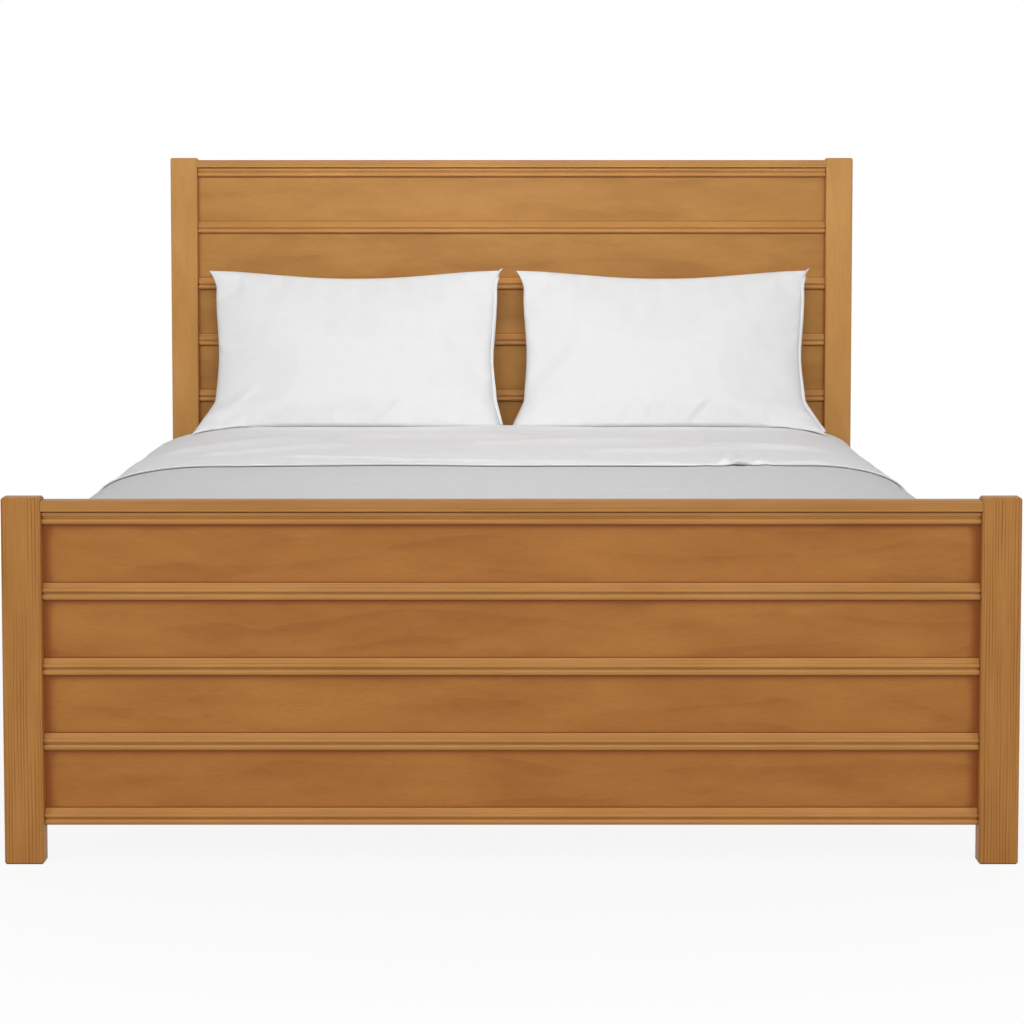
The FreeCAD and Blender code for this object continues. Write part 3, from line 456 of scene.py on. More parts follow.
zinc = make_zinc("zinc_plated_steel", "#C9C7C0", "#A9A79F")
for name in ("hook_plates", "receiver_plates", "slat_screws", "leg_bolts", "leg_nuts"):
    nodes[name].material_slots[0].material = zinc
print("zinc on hooks, receivers, screws, bolts and nuts")

# %% [markdown]
# The slats hang together on two woven tapes: ribs across the tape, threads along it, and shade between them.

# %% Woven tape
RIB_MM = 2.2


def make_webbing(name, colour, shade):
    material, tree, cloth = new_material(name)
    place = add(tree, "ShaderNodeTexCoord").outputs["Object"]
    ribs = add(tree, "ShaderNodeTexWave",
               {"Vector": place, "Scale": WAVE / (RIB_MM * MM), "Distortion": 0.6},
               wave_type="BANDS", bands_direction="Y")
    edges = add(tree, "ShaderNodeTexWave",
                {"Vector": place, "Scale": WAVE / (RIB_MM * MM), "Distortion": 0.4},
                wave_type="BANDS", bands_direction="X")
    weave = add(tree, "ShaderNodeMath", {0: ribs.outputs["Fac"], 1: edges.outputs["Fac"]},
                operation="MULTIPLY")
    tint = add(tree, "ShaderNodeMix",
               {"Factor": weave.outputs[0], MIX_A: linear(shade), MIX_B: linear(colour)}, data_type="RGBA")
    tree.links.new(tint.outputs[MIX_OUT], cloth.inputs["Base Color"])
    threads = add(tree, "ShaderNodeBump", {"Height": weave.outputs[0], "Strength": 0.5, "Distance": 0.4 * MM})
    tree.links.new(threads.outputs[0], cloth.inputs["Normal"])
    cloth.inputs["Roughness"].default_value = 0.8
    return material


webbing = make_webbing("woven_cotton_tape", "#DEDBD2", "#B5B0A3")
for side in ("left", "right"):
    nodes[f"slat_tape_{side}"].material_slots[0].material = webbing
print("tape under the slats")

# %% [markdown]
# ## Cloth
#
# Sheet and pillowcases are white cotton percale: a plain weave, matt, with a faint softness at its edges.
# The blanket is thicker, a pale grey brushed weave. Threads are really about a quarter of a millimetre apart,
# too fine to show from across a room, so they are drawn several times coarser.

# %% Woven cotton
def make_woven(name, colour, shade, thread_mm, depth_mm, strength, sheen):
    """Plain weave on the flat pattern of a piece; strength and depth say how clearly the threads show."""
    material, tree, cloth = new_material(name)
    place = add(tree, "ShaderNodeTexCoord").outputs["UV"]
    warp, weft = [add(tree, "ShaderNodeTexWave",
                      {"Vector": place, "Scale": WAVE / (thread_mm * MM), "Distortion": 1.2, "Detail": 1.0,
                       "Detail Scale": 0.15}, wave_type="BANDS", bands_direction=way) for way in "XY"]
    weave = add(tree, "ShaderNodeMath", {0: warp.outputs["Fac"], 1: weft.outputs["Fac"]}, operation="ADD")
    slubs = add(tree, "ShaderNodeTexNoise", {"Vector": place, "Scale": 1 / (35 * MM), "Detail": 4.0})
    thin = add(tree, "ShaderNodeMapRange",
               {"Value": slubs.outputs["Fac"], "From Min": 0.35, "From Max": 0.65})
    tint = add(tree, "ShaderNodeMix",
               {"Factor": thin.outputs[0], MIX_A: linear(shade), MIX_B: linear(colour)}, data_type="RGBA")
    tree.links.new(tint.outputs[MIX_OUT], cloth.inputs["Base Color"])
    threads = add(tree, "ShaderNodeBump",
                  {"Height": weave.outputs[0], "Strength": strength, "Distance": depth_mm * MM})
    tree.links.new(threads.outputs[0], cloth.inputs["Normal"])
    cloth.inputs["Roughness"].default_value = 0.88
    cloth.inputs["Specular IOR Level"].default_value = 0.25
    cloth.inputs["Sheen Weight"].default_value = sheen
    cloth.inputs["Sheen Roughness"].default_value = 0.5
    return material


percale = make_woven("white_cotton_percale", "#E7E7E7", "#E5E5E5", 1.0, 0.1, 0.25, 0.08)
# Painted light: the sheet's percale is painted whiter than the pillowcases', for the light a flat sheet
# misses from the lamps in front.
lit_sheet_percale = make_woven("white_cotton_percale_painted_whiter", "#F0F0F1", "#EDEDEE", 1.2, 0.12, 0.25, 0.08)
brushed_blanket = make_woven("grey_brushed_cotton", "#D3D3D3", "#D0D0D1", 2.4, 0.3, 0.35, 0.15)
ticking = make_woven("white_damask_ticking", "#E9E7E2", "#DDDAD2", 1.6, 0.2, 0.4, 0.05)
print("cloth:", percale.name, lit_sheet_percale.name, brushed_blanket.name, ticking.name)

# %% [markdown]
# ## From a net of points to a mesh
#
# Cloth is worked out as a net: rows along the bed, columns across it. One function turns the net into a mesh
# with its flat pattern as UVs in metres, so that the weave keeps its size where the cloth bends.

# %% Nets
def net_mesh(name, points, pattern, keep=None):
    """A quad mesh from rows and columns of points; pattern holds each point's place on the flat cloth."""
    rows, columns = points.shape[:2]
    index = np.arange(rows * columns).reshape(rows, columns)
    faces = []
    for r in range(rows - 1):
        for c in range(columns - 1):
            if keep is None or keep(r, c):
                faces.append((index[r, c], index[r, c + 1], index[r + 1, c + 1], index[r + 1, c]))
    mesh = bpy.data.meshes.new(name)
    mesh.from_pydata(points.reshape(-1, 3).tolist(), [], [tuple(int(i) for i in f) for f in faces])
    flat = pattern.reshape(-1, 2)
    layer = mesh.uv_layers.new(name="flat_pattern")
    for loop in mesh.loops:
        layer.data[loop.index].uv = flat[loop.vertex_index]
    mesh.polygons.foreach_set("use_smooth", [True] * len(mesh.polygons))
    return mesh


def show(name, mesh, material):
    """Puts a mesh in the scene and drops points that no face uses."""
    made = bmesh.new()
    made.from_mesh(mesh)
    bmesh.ops.delete(made, geom=[v for v in made.verts if not v.link_faces], context="VERTS")
    made.to_mesh(mesh)
    made.free()
    piece = bpy.data.objects.new(name, mesh)
    bpy.context.scene.collection.objects.link(piece)
    mesh.materials.append(material)
    return piece


def thicken(piece, thickness, offset):
    """Gives a net a real thickness: with offset -1 below it, with 0 to both sides."""
    body = piece.modifiers.new("thickness", "SOLIDIFY")
    body.thickness = thickness
    body.offset = offset


def smooth_step(low, high, value):
    """0 below the low value, 1 above the high one, and a soft slope between."""
    share = np.clip((np.asarray(value, float) - low) / (high - low), 0, 1)
    return share * share * (3 - 2 * share)


def ripple(*places, size, seed):
    """Smooth noise of about one ripple in that many metres, the same each run."""
    grids = np.broadcast_arrays(*places)
    flat = zip(*(g.ravel() / size for g in grids))
    values = [noise.noise(Vector((*p, seed * 7.31)) if len(p) == 2 else Vector((p[0], seed * 7.31, 0.5)))
              for p in flat]
    return np.array(values).reshape(grids[0].shape)


print("ripple test", round(float(ripple(np.array([0.2]), np.array([0.3]), size=0.1, seed=1)[0]), 4))

# %% [markdown]
# ## The mattress
#
# A sprung mattress is a soft block with a taped edge round its top and bottom panels. On the made-up bed only
# its head end and its underside show. It is drawn as a stack of rounded rectangles, one above the other: they
# shrink towards the top and the bottom along a quarter of an oval, and the border between bulges a little.
# The oval is long across the bed, because a soft mattress gives way at its sides.

# %% Rings of the mattress
MATTRESS_CORNER, LEAST_CORNER = 0.06, 0.015
EDGE_ACROSS, EDGE_ALONG, EDGE_DOWN = 0.14, 0.045, 0.05
BORDER_BULGE = 0.0025
CORNER_STEPS, EDGE_STEPS, BORDER_STEPS = 10, 8, 8
mattress_low, mattress_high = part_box("mattress")
mattress_size = mattress_high - mattress_low
mattress_middle = (mattress_low + mattress_high) / 2


def rounded_ring(across_share, along_share, height):
    """Points round the mattress, drawn in from its sides and ends by shares of its soft edge."""
    ring = []
    drawn_x, drawn_y = EDGE_ACROSS * across_share, EDGE_ALONG * along_share
    radius = max(MATTRESS_CORNER - max(drawn_x, drawn_y), LEAST_CORNER)
    for quarter, (sx, sy) in enumerate(((1, 1), (-1, 1), (-1, -1), (1, -1))):
        x = sx * (mattress_size.x / 2 - drawn_x - radius)
        y = sy * (mattress_size.y / 2 - drawn_y - radius)
        for step in range(CORNER_STEPS + 1):
            turn = math.radians(90) * (quarter + step / CORNER_STEPS)
            place = Vector((x + radius * math.cos(turn), y + radius * math.sin(turn), height))
            ring.append(mattress_middle + place)
    return ring


def edge_place(turn):
    """How far a ring is drawn in, as a share of the soft edge, and its height, for a turn round that edge."""
    share = 1 - math.sin(turn)
    return share, share, mattress_size.z / 2 - EDGE_DOWN * (1 - math.cos(turn))


def mattress_rings():
    """The stack from top to bottom: the upper soft edge, the bulging border and the lower edge."""
    edge = [edge_place(turn) for turn in np.linspace(0, math.pi / 2, EDGE_STEPS + 1)]
    border_half = edge[-1][2]
    border = []
    for height in np.linspace(border_half, -border_half, BORDER_STEPS + 1)[1:-1]:
        bulge = -BORDER_BULGE * (1 - (height / border_half) ** 2)
        border.append((bulge / EDGE_ACROSS, bulge / EDGE_ALONG, height))
    lower = [(across_share, along_share, -height) for across_share, along_share, height in reversed(edge)]
    return [rounded_ring(*place) for place in edge + border + lower]


print("rings in the mattress:", len(mattress_rings()))

# %% [markdown]
# Faces join each ring to the next, and two flat faces close the stack. The taped edges are two round bars,
# half sunk into the soft edge above and below.

# %% Mattress and its tapes
TAPE_RADIUS, TAPE_SUNK = 0.0035, 0.0025


def make_mattress():
    """A closed skin over the stack of rings, with the ticking's pattern laid on it."""
    made = bmesh.new()
    rings = [[made.verts.new(place) for place in ring] for ring in mattress_rings()]
    count = len(rings[0])
    made.faces.new(rings[0])
    made.faces.new(rings[-1][::-1])
    for upper, lower in zip(rings, rings[1:]):
        for i in range(count):
            k = (i + 1) % count
            made.faces.new((upper[i], lower[i], lower[k], upper[k]))
    made.normal_update()
    layer = made.loops.layers.uv.new("flat_pattern")
    for face in made.faces:
        face.smooth = True
        for loop in face.loops:
            co = loop.vert.co
            loop[layer].uv = (co.x, co.y) if abs(face.normal.z) > 0.6 else (co.x + co.y, co.z)
    mesh = bpy.data.meshes.new("sprung_mattress")
    made.to_mesh(mesh)
    made.free()
    return show("sprung_mattress", mesh, ticking)


def make_taped_edge(name, side):
    """A round bar half sunk into the mattress's edge, on its top or its bottom side."""
    across_share, along_share, height = edge_place(math.radians(45))
    line = bpy.data.curves.new(name, "CURVE")
    line.dimensions = "3D"
    line.bevel_depth = TAPE_RADIUS
    line.bevel_resolution = 3
    places = rounded_ring(across_share, along_share, side * (height - TAPE_SUNK))
    spline = line.splines.new("POLY")
    spline.points.add(len(places) - 1)
    for point, place in zip(spline.points, places):
        point.co = (*place, 1.0)
    spline.use_cyclic_u = True
    tape = bpy.data.objects.new(name, line)
    line.materials.append(ticking)
    bpy.context.scene.collection.objects.link(tape)
    return tape


mattress = make_mattress()
mattress_tapes = [make_taped_edge("mattress_tape_top", 1), make_taped_edge("mattress_tape_bottom", -1)]
for piece in [mattress, *mattress_tapes]:
    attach(piece, "made_mattress")
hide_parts("mattress")
print("mattress", [round(s, 3) for s in mattress_size])

# %% [markdown]
# ## How the covers lie
#
# Blanket and sheet follow one line across the bed: up from the hem, round the shoulder, over the top and down
# the other side. A point of that line is known by how far it is from the middle, measured along the cloth.

# %% The line across the bed
blanket_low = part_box("blanket")[0]
sheet_low, sheet_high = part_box("top_sheet")
SIDE_REACH, HEM_REACH = 0.793, 0.803
SHOULDER_ACROSS, SHOULDER_DOWN = 0.19, 0.057
skin_top = mattress_high.z
flat_half = SIDE_REACH - SHOULDER_ACROSS


def cross_line(hem_height):
    """The line from the middle to the hem: distances along it, places, and how far it has turned."""
    turn = np.linspace(0, math.pi / 2, 40)
    x = np.array([0, *(flat_half + SHOULDER_ACROSS * np.sin(turn)), HEM_REACH])
    z = np.array([skin_top, *(skin_top - SHOULDER_DOWN * (1 - np.cos(turn))), hem_height])
    walk = np.concatenate([[0], np.cumsum(np.hypot(np.diff(x), np.diff(z)))])
    facing = np.arctan2(SHOULDER_DOWN * np.sin(turn), SHOULDER_ACROSS * np.cos(turn))
    lean = math.atan2(HEM_REACH - SIDE_REACH, z[-2] - hem_height)
    return walk, x, z, np.array([0, *facing, math.pi / 2 - lean])


def across(run, hem_height):
    """Places and outward directions for distances from the middle of the cloth."""
    walk, line_x, line_z, facing = cross_line(hem_height)
    side, far = np.sign(run), np.abs(run)
    x, z, turned = (np.interp(far, walk, values) for values in (line_x, line_z, facing))
    low_share = np.clip((far - walk[-2]) / (walk[-1] - walk[-2]), 0, 1)
    return side * x, z, side * np.sin(turned), np.cos(turned), low_share


def hem_run(hem_height):
    """From the middle of the bed to the hem, along the cloth."""
    return float(cross_line(hem_height)[0][-1])


print("half a cover across the bed:", round(hem_run(blanket_low.z), 3), "m")

# %% [markdown]
# On top the cloth is almost flat, with slow rises and a few creases. On the sides it hangs in soft upright
# folds that grow towards the hem. The sheet uses the same relief as the blanket below it, so the two never
# meet. A crease is a straight line from one place to another with a width and a height, all in metres.

# %% What rises from the line
SLOW_RISES = ((0.0022, 0.42, 3), (0.0010, 0.16, 4))
FOLD_DEPTH, FOLD_SPACING, FINE_FOLD_SPACING = 0.0085, 0.21, 0.13
FOLD_SHARE, FINE_FOLD_SHARE = 0.6, 0.4
FOLD_WANDER, FOLD_GROWTH = 0.09, 1.3
HEM_BAND, HEM_BAND_RISE = (0.86, 0.92), 0.0012
LEFT_SLACK, SLACK_LOST_AT_HEM = 0.038, 0.6
SLACK_FOOT, SLACK_HEAD = (-1.0, -0.7), (0.84, 0.92)
PINCH_RIDGES = (
    (0.430, 0.040, 0.478, 0.28, 0.016, 0.0140),
    (0.492, 0.040, 0.550, 0.16, 0.014, 0.0110),
    (0.500, 0.046, 0.700, 0.13, 0.013, 0.0060),
    (0.420, 0.046, 0.230, 0.12, 0.013, 0.0055),
)
BLANKET_CREASES = (
    (-0.324, -0.25, -0.298, -0.11, 0.014, 0.0035),
    (0.10, -0.45, 0.34, -0.30, 0.020, 0.0030),
    (-0.60, -0.30, -0.45, -0.05, 0.018, 0.0030),
)


def beside_line(x, y, start, end):
    """How far places lie along a straight line, how far off it, and the line's length."""
    way_x, way_y = end[0] - start[0], end[1] - start[1]
    length = math.hypot(way_x, way_y)
    walk = ((x - start[0]) * way_x + (y - start[1]) * way_y) / length
    off = ((y - start[1]) * way_x - (x - start[0]) * way_y) / length
    return walk, off, length


def crease_field(x, y, creases):
    """Soft ridges along straight lines, each fading out at both ends."""
    rise = 0 * x
    for x0, y0, x1, y1, wide, high in creases:
        walk, off, length = beside_line(x, y, (x0, y0), (x1, y1))
        ends = smooth_step(0, 0.1 * length, walk) * (1 - smooth_step(0.6 * length, length, walk))
        rise = rise + high * ends * np.exp(-(off / wide) ** 2)
    return rise


def relief(run, y, low_share):
    """How far the covers rise from the mattress: slow rises on top, upright folds on the sides."""
    slow = sum(high * ripple(run, y, size=size, seed=seed) for high, size, seed in SLOW_RISES)
    side_seed = np.where(run > 0, 9.0, 0.0)
    wander = FOLD_WANDER * ripple(y + side_seed, y * 0 + side_seed, size=0.5, seed=5)
    folds = np.sin(2 * math.pi * (y + wander) / FOLD_SPACING + side_seed)
    fine = np.sin(2 * math.pi * (y - 2 * wander) / FINE_FOLD_SPACING + 1.3 + side_seed)
    uneven = 0.65 + 0.7 * ripple(y + side_seed, y * 0, size=0.37, seed=6)
    depth = FOLD_DEPTH * low_share ** FOLD_GROWTH * uneven
    band = HEM_BAND_RISE * smooth_step(*HEM_BAND, low_share)
    creases = crease_field(run, y, PINCH_RIDGES + BLANKET_CREASES)
    hanging = depth * (FOLD_SHARE * folds + FINE_FOLD_SHARE * fine)
    return slow * (1 - low_share) + hanging + band + creases


def slack(x, y, low_share):
    """On the left the covers stand a little away from the mattress, except at its two ends."""
    out = np.clip((-x - flat_half) / SHOULDER_ACROSS, 0, 1)
    ends = smooth_step(*SLACK_FOOT, y) * (1 - smooth_step(*SLACK_HEAD, y))
    return -LEFT_SLACK * out * (1 - SLACK_LOST_AT_HEM * low_share) * ends


print("creases:", len(PINCH_RIDGES + BLANKET_CREASES), "and slack on the left:", LEFT_SLACK, "m")

# %% [markdown]
# ## The blanket
#
# A pale grey blanket, spread over the mattress, hanging over both side rails and tucked down at the foot.
# Its net is worked out along the cloth, which keeps the tuck in its place, and is given a real thickness.
# At the foot it turns down round the mattress's edge and disappears behind the footboard.

# %% Blanket
STEP = 0.0125
BLANKET_THICK = 0.0045
BLANKET_OUT = 0.0095
FOOT_TURN = 0.042
TUCK_DEPTH, TUCK_SHARE = 0.075, 0.75
SINK_LOST_AT_HEM = 0.65
BLANKET_HEM_UP, BLANKET_FOOT_IN, BLANKET_HEAD_IN = 0.004, 0.0045, 0.016


def steps(low, high, size):
    """Evenly spaced values from low to high, about a size apart."""
    return np.linspace(low, high, max(2, round((high - low) / size) + 1))


def make_blanket():
    """The blanket's net from its head edge to the tuck; returns the piece and its flat size."""
    hem = blanket_low.z + BLANKET_HEM_UP
    reach = hem_run(hem)
    foot = blanket_low.y + BLANKET_FOOT_IN
    head = sheet_high.y - BLANKET_HEAD_IN
    run = steps(-reach, reach, STEP)
    level = steps(foot + FOOT_TURN, head, STEP)[::-1]
    bend = np.linspace(0, math.pi / 2, 7)[1:]
    tuck = steps(0, TUCK_DEPTH, STEP)[1:]
    y = np.concatenate([level, foot + FOOT_TURN - FOOT_TURN * np.sin(bend), np.full(len(tuck), foot)])
    sink = np.concatenate([0 * level, FOOT_TURN * (1 - np.cos(bend)), FOOT_TURN + tuck])
    walk = np.concatenate([head - level, head - level[-1] + FOOT_TURN * bend,
                           head - level[-1] + FOOT_TURN * math.pi / 2 + tuck])
    runs, ys = np.meshgrid(run, y)
    sinks, walks = np.meshgrid(run, sink)[1], np.meshgrid(run, walk)[1]
    x, z, out_x, out_z, low_share = across(runs, hem)
    level_share = 1 - smooth_step(0, FOOT_TURN, sinks)
    rise = BLANKET_OUT + relief(runs, ys, low_share) * level_share
    x = x + slack(x, ys, low_share) * level_share
    z = z - sinks * (1 - SINK_LOST_AT_HEM * low_share)
    points = np.stack([x + rise * out_x, ys, z + rise * out_z], axis=-1)
    pattern = np.stack([runs, walks], axis=-1)
    tuck_half = flat_half + TUCK_SHARE * SHOULDER_ACROSS

    def tucked(r, c):
        return r >= len(tuck) or abs(run[c]) < tuck_half

    net = net_mesh("grey_blanket", points[::-1], pattern[::-1], tucked)
    piece = show("grey_blanket", net, brushed_blanket)
    thicken(piece, BLANKET_THICK, -1)
    return piece, (2 * reach, float(walk[-1]))


blanket, blanket_cut = make_blanket()
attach(blanket, "made_mattress")
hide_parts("blanket")
print("blanket cut to", [round(s, 3) for s in blanket_cut])

# %% [markdown]
# ## The turned-down sheet
#
# The top sheet comes out from under the blanket at the pillows, goes round its edge and lies turned down over
# it. Its hem stands a few millimetres proud and throws a thin dark line on the blanket. Long low ridges run
# across it, and on the right the hem is pinched up into a small tent.

# %% What only the sheet has
HEM_LIFT, HEM_FADE = 0.0040, 0.004
SHEET_WAVE, SHEET_WAVE_SIZE = 0.0014, 0.11
STITCH_AT, STITCH_HALF, STITCH_DEPTH = 0.040, 0.002, 0.0008
PINCH_X, PINCH_HEIGHT, PINCH_HALF, PINCH_FADE = 0.464, 0.0105, 0.018, 0.010
FOLD_RIDGE, FOLD_RIDGE_RUN = 0.004, 0.10
SHEET_CREASES = (
    (-0.72, 0.34, -0.42, 0.70, 0.036, 0.0090),
    (-0.66, 0.24, -0.28, 0.55, 0.030, 0.0080),
    (-0.40, 0.63, 0.12, 0.67, 0.040, 0.0100),
    (-0.12, 0.48, 0.46, 0.58, 0.040, 0.0090),
    (-0.50, 0.22, -0.04, 0.13, 0.015, 0.0050),
    (-0.16, 0.13, 0.28, 0.11, 0.013, 0.0045),
    (0.42, 0.46, 0.74, 0.34, 0.030, 0.0085),
    (0.16, 0.30, 0.62, 0.42, 0.034, 0.0075),
)


def sheet_relief(run, y, hem_y):
    """What the sheet has more than the blanket: ridges across it, a lifted hem and a pinch."""
    away = y - hem_y
    lift = HEM_LIFT * np.exp(-away / HEM_FADE)
    wave = SHEET_WAVE * (1 + ripple(run, y, size=SHEET_WAVE_SIZE, seed=11)) * smooth_step(0, 0.1, away)
    tent = PINCH_HEIGHT * np.exp(-((run - PINCH_X) / PINCH_HALF) ** 2) * np.exp(-away / PINCH_FADE)
    stitched = -STITCH_DEPTH * np.exp(-((away - STITCH_AT) / STITCH_HALF) ** 2)
    ridge = FOLD_RIDGE * smooth_step(sheet_high.y - FOLD_RIDGE_RUN, sheet_high.y - 0.01, y)
    return lift + wave + tent + stitched + ridge + crease_field(run, y, SHEET_CREASES)


print("creases in the sheet:", len(SHEET_CREASES))

# %% [markdown]
# The net starts at the hem, with close rows for the stitching. It runs to the fold, goes round it and ends a
# short way under it. What the sheet has of its own fades out in the fold.

# %% Sheet
SHEET_THICK = 0.0008
SHEET_OVER_BLANKET = 0.0005
HEM_ROWS = (0, 0.002, 0.004, 0.007, 0.011, 0.016, 0.024, 0.032, 0.036, 0.038, 0.040, 0.042, 0.044)
FOLD_RADIUS = 0.0062
UNDER_RUN = 0.045
SHEET_STEP = 0.01
SHEET_HEM_UP, SHEET_HEAD_IN = 0.003, 0.006
RELIEF_LOST_AT_HEM = 0.6


def make_sheet():
    """The sheet's net from its hem to the part under the fold; returns the piece and its flat size."""
    hem = sheet_low.z + SHEET_HEM_UP
    reach = hem_run(hem)
    run = steps(-reach, reach, SHEET_STEP)
    hem_y, fold_y = sheet_low.y, sheet_high.y - SHEET_HEAD_IN
    level = np.concatenate([hem_y + np.array(HEM_ROWS),
                            steps(hem_y + HEM_ROWS[-1] + STEP / 2, fold_y - FOLD_RADIUS, SHEET_STEP)])
    bend = np.linspace(0, math.pi, 9)[1:]
    under = steps(0, UNDER_RUN, STEP)[1:]
    y = np.concatenate([level, level[-1] + FOLD_RADIUS * np.sin(bend), level[-1] - under])
    dip = np.concatenate([0 * level, FOLD_RADIUS * (1 - np.cos(bend)), np.full(len(under), 2 * FOLD_RADIUS)])
    walk = np.concatenate([level - hem_y, level[-1] - hem_y + FOLD_RADIUS * bend,
                           level[-1] - hem_y + FOLD_RADIUS * math.pi + under])
    runs, ys = np.meshgrid(run, y)
    dips, walks = np.meshgrid(run, dip)[1], np.meshgrid(run, walk)[1]
    x, z, out_x, out_z, low_share = across(runs, hem)
    covered = BLANKET_OUT + SHEET_OVER_BLANKET + SHEET_THICK
    own = sheet_relief(runs, ys, hem_y) * (1 - RELIEF_LOST_AT_HEM * low_share)
    own = own * (1 - smooth_step(0, FOLD_RADIUS, dips))
    below = relief(runs, ys, low_share) * (1 - smooth_step(FOLD_RADIUS, 2 * FOLD_RADIUS, dips))
    rise = covered + below + own - dips
    x = x + slack(x, ys, low_share)
    points = np.stack([x + rise * out_x, ys, z + rise * out_z], axis=-1)
    pattern = np.stack([runs, walks], axis=-1)
    piece = show("turned_sheet", net_mesh("turned_sheet", points, pattern), lit_sheet_percale)
    thicken(piece, SHEET_THICK, -1)
    return piece, (2 * reach, float(walk[-1]))


sheet, sheet_cut = make_sheet()
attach(sheet, "made_mattress")
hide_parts("top_sheet")
print("sheet cut to", [round(s, 3) for s in sheet_cut])

# %% [markdown]
# ## The pillows
#
# A pillow in its case is two flat rectangles sewn together and filled. Filling draws the sides in and leaves
# the corners standing out as ears. Stood on its long side and leaned on the headboard, it sags a little, so
# the lower corners spread out on the mattress. The outline is worked out first. Each corner at the foot has a
# flare: how far it goes out, forward and up.

# %% Pillow outline
PILLOW_SHIFT, PILLOW_UP = -0.009, 0.001
PILLOW_FULL = 0.118
SWELL_ACROSS, SWELL_UP, SWELL_SINKS = (3.2, 0.55), (2.6, 0.6), 0.32
PILLOW_LEAN = math.radians(8)
SEWN_DRAW, OPEN_DRAW = 0.025, 0.020
EAR_SHARE, TOP_DIP, OPEN_EAR_RISE = 0.11, 0.019, 0.0005
FLARE_SHARE, SEAM_WAVER = 0.19, 0.0035
OUTER_FLARE, SEWN_FLARE, OPEN_FLARE = (0.050, 0.100, -0.020), (0.034, 0.0, 0.001), (0.020, 0.0, 0.001)


def pillow_seam(u, v, side, width, height):
    """Places in the pillow's middle plane: u from -1 to 1 across, v from 0 to 1 up."""
    flares = (OUTER_FLARE, OPEN_FLARE) if side == "left" else (SEWN_FLARE, OUTER_FLARE)
    near_foot = np.clip(1 - v / FLARE_SHARE, 0, 1) ** 1.15
    flat_side = np.clip((1 - v) / EAR_SHARE, 0, 1) ** 0.65
    waver = SEAM_WAVER * np.sin(2 * math.pi * 1.4 * v + 0.6) * flat_side
    halves = [width / 2 - draw * flat_side + flare[0] * near_foot + waver
              for draw, flare in zip((SEWN_DRAW, OPEN_DRAW), flares)]
    left = u < 0
    x = u * np.where(left, halves[0], halves[1])
    corner = np.abs(u) ** 5 * np.exp(-(v / 0.11) ** 1.3)
    forward = corner * np.where(left, flares[0][1], flares[1][1])
    lift = corner * np.where(left, flares[0][2], flares[1][2])
    dip = TOP_DIP * (0.5 + 0.5 * np.cos(math.pi * u)) ** 0.85 - OPEN_EAR_RISE * np.clip(u, 0, 1) ** 4
    return x, -forward, v * height - dip * v ** 4 + lift


def pillow_swell(u, v):
    """Half the thickness at each place; the filling has sunk a little."""
    sunk = 2 * v ** SWELL_SINKS - 1
    across_share, up_share = [np.clip(1 - np.abs(way) ** square, 0, 1) ** soft
                              for way, (square, soft) in ((u, SWELL_ACROSS), (sunk, SWELL_UP))]
    return PILLOW_FULL / 2 * across_share * up_share


def lean_back(points, low, high):
    """Turns pillow points back towards the headboard and puts them in their place on the bed."""
    x, y, z = points.T
    turned = np.stack([x, y * math.cos(PILLOW_LEAN) + z * math.sin(PILLOW_LEAN),
                       z * math.cos(PILLOW_LEAN) - y * math.sin(PILLOW_LEAN)], axis=-1)
    reach = PILLOW_FULL / 2 * math.cos(PILLOW_LEAN) + 0.5 * (high.z - low.z) * math.sin(PILLOW_LEAN)
    return turned + np.array([(low.x + high.x) / 2 + PILLOW_SHIFT, high.y - reach, low.z + PILLOW_UP])


print("pillow is", PILLOW_FULL, "m thick and leans", round(math.degrees(PILLOW_LEAN)), "degrees")

# %% [markdown]
# A pillow lies on the sheet, and on the mattress where the sheet ends. Rays straight down find both, and
# points that would lie lower are lifted onto them.

# %% Rest on the bed
REST_GAP, REST_LOOK = 0.0006, 0.08
bpy.context.view_layer.update()
bed_top = [BVHTree.FromObject(piece, bpy.context.evaluated_depsgraph_get()) for piece in (sheet, mattress)]


def rest_on_bed(points):
    """Lifts the points that lie too low onto the sheet or the mattress below them."""
    settled = points.copy()
    for place in settled:
        if place[2] < mattress_high.z + REST_LOOK:
            above = Vector((place[0], place[1], mattress_high.z + REST_LOOK))
            hits = [tree.ray_cast(above, Vector((0, 0, -1)))[0] for tree in bed_top]
            place[2] = max([place[2], *(hit.z + REST_GAP for hit in hits if hit)])
    return settled


print("lowest place for a pillow:", round(mattress_high.z + REST_GAP, 4), "m")

# %% [markdown]
# The case is two nets, a front and a back, that share their rim, the seam. Each place swells from the seam's
# plane to both sides.

# %% Pillow net
PILLOW_COLUMNS, PILLOW_ROWS = 100, 58


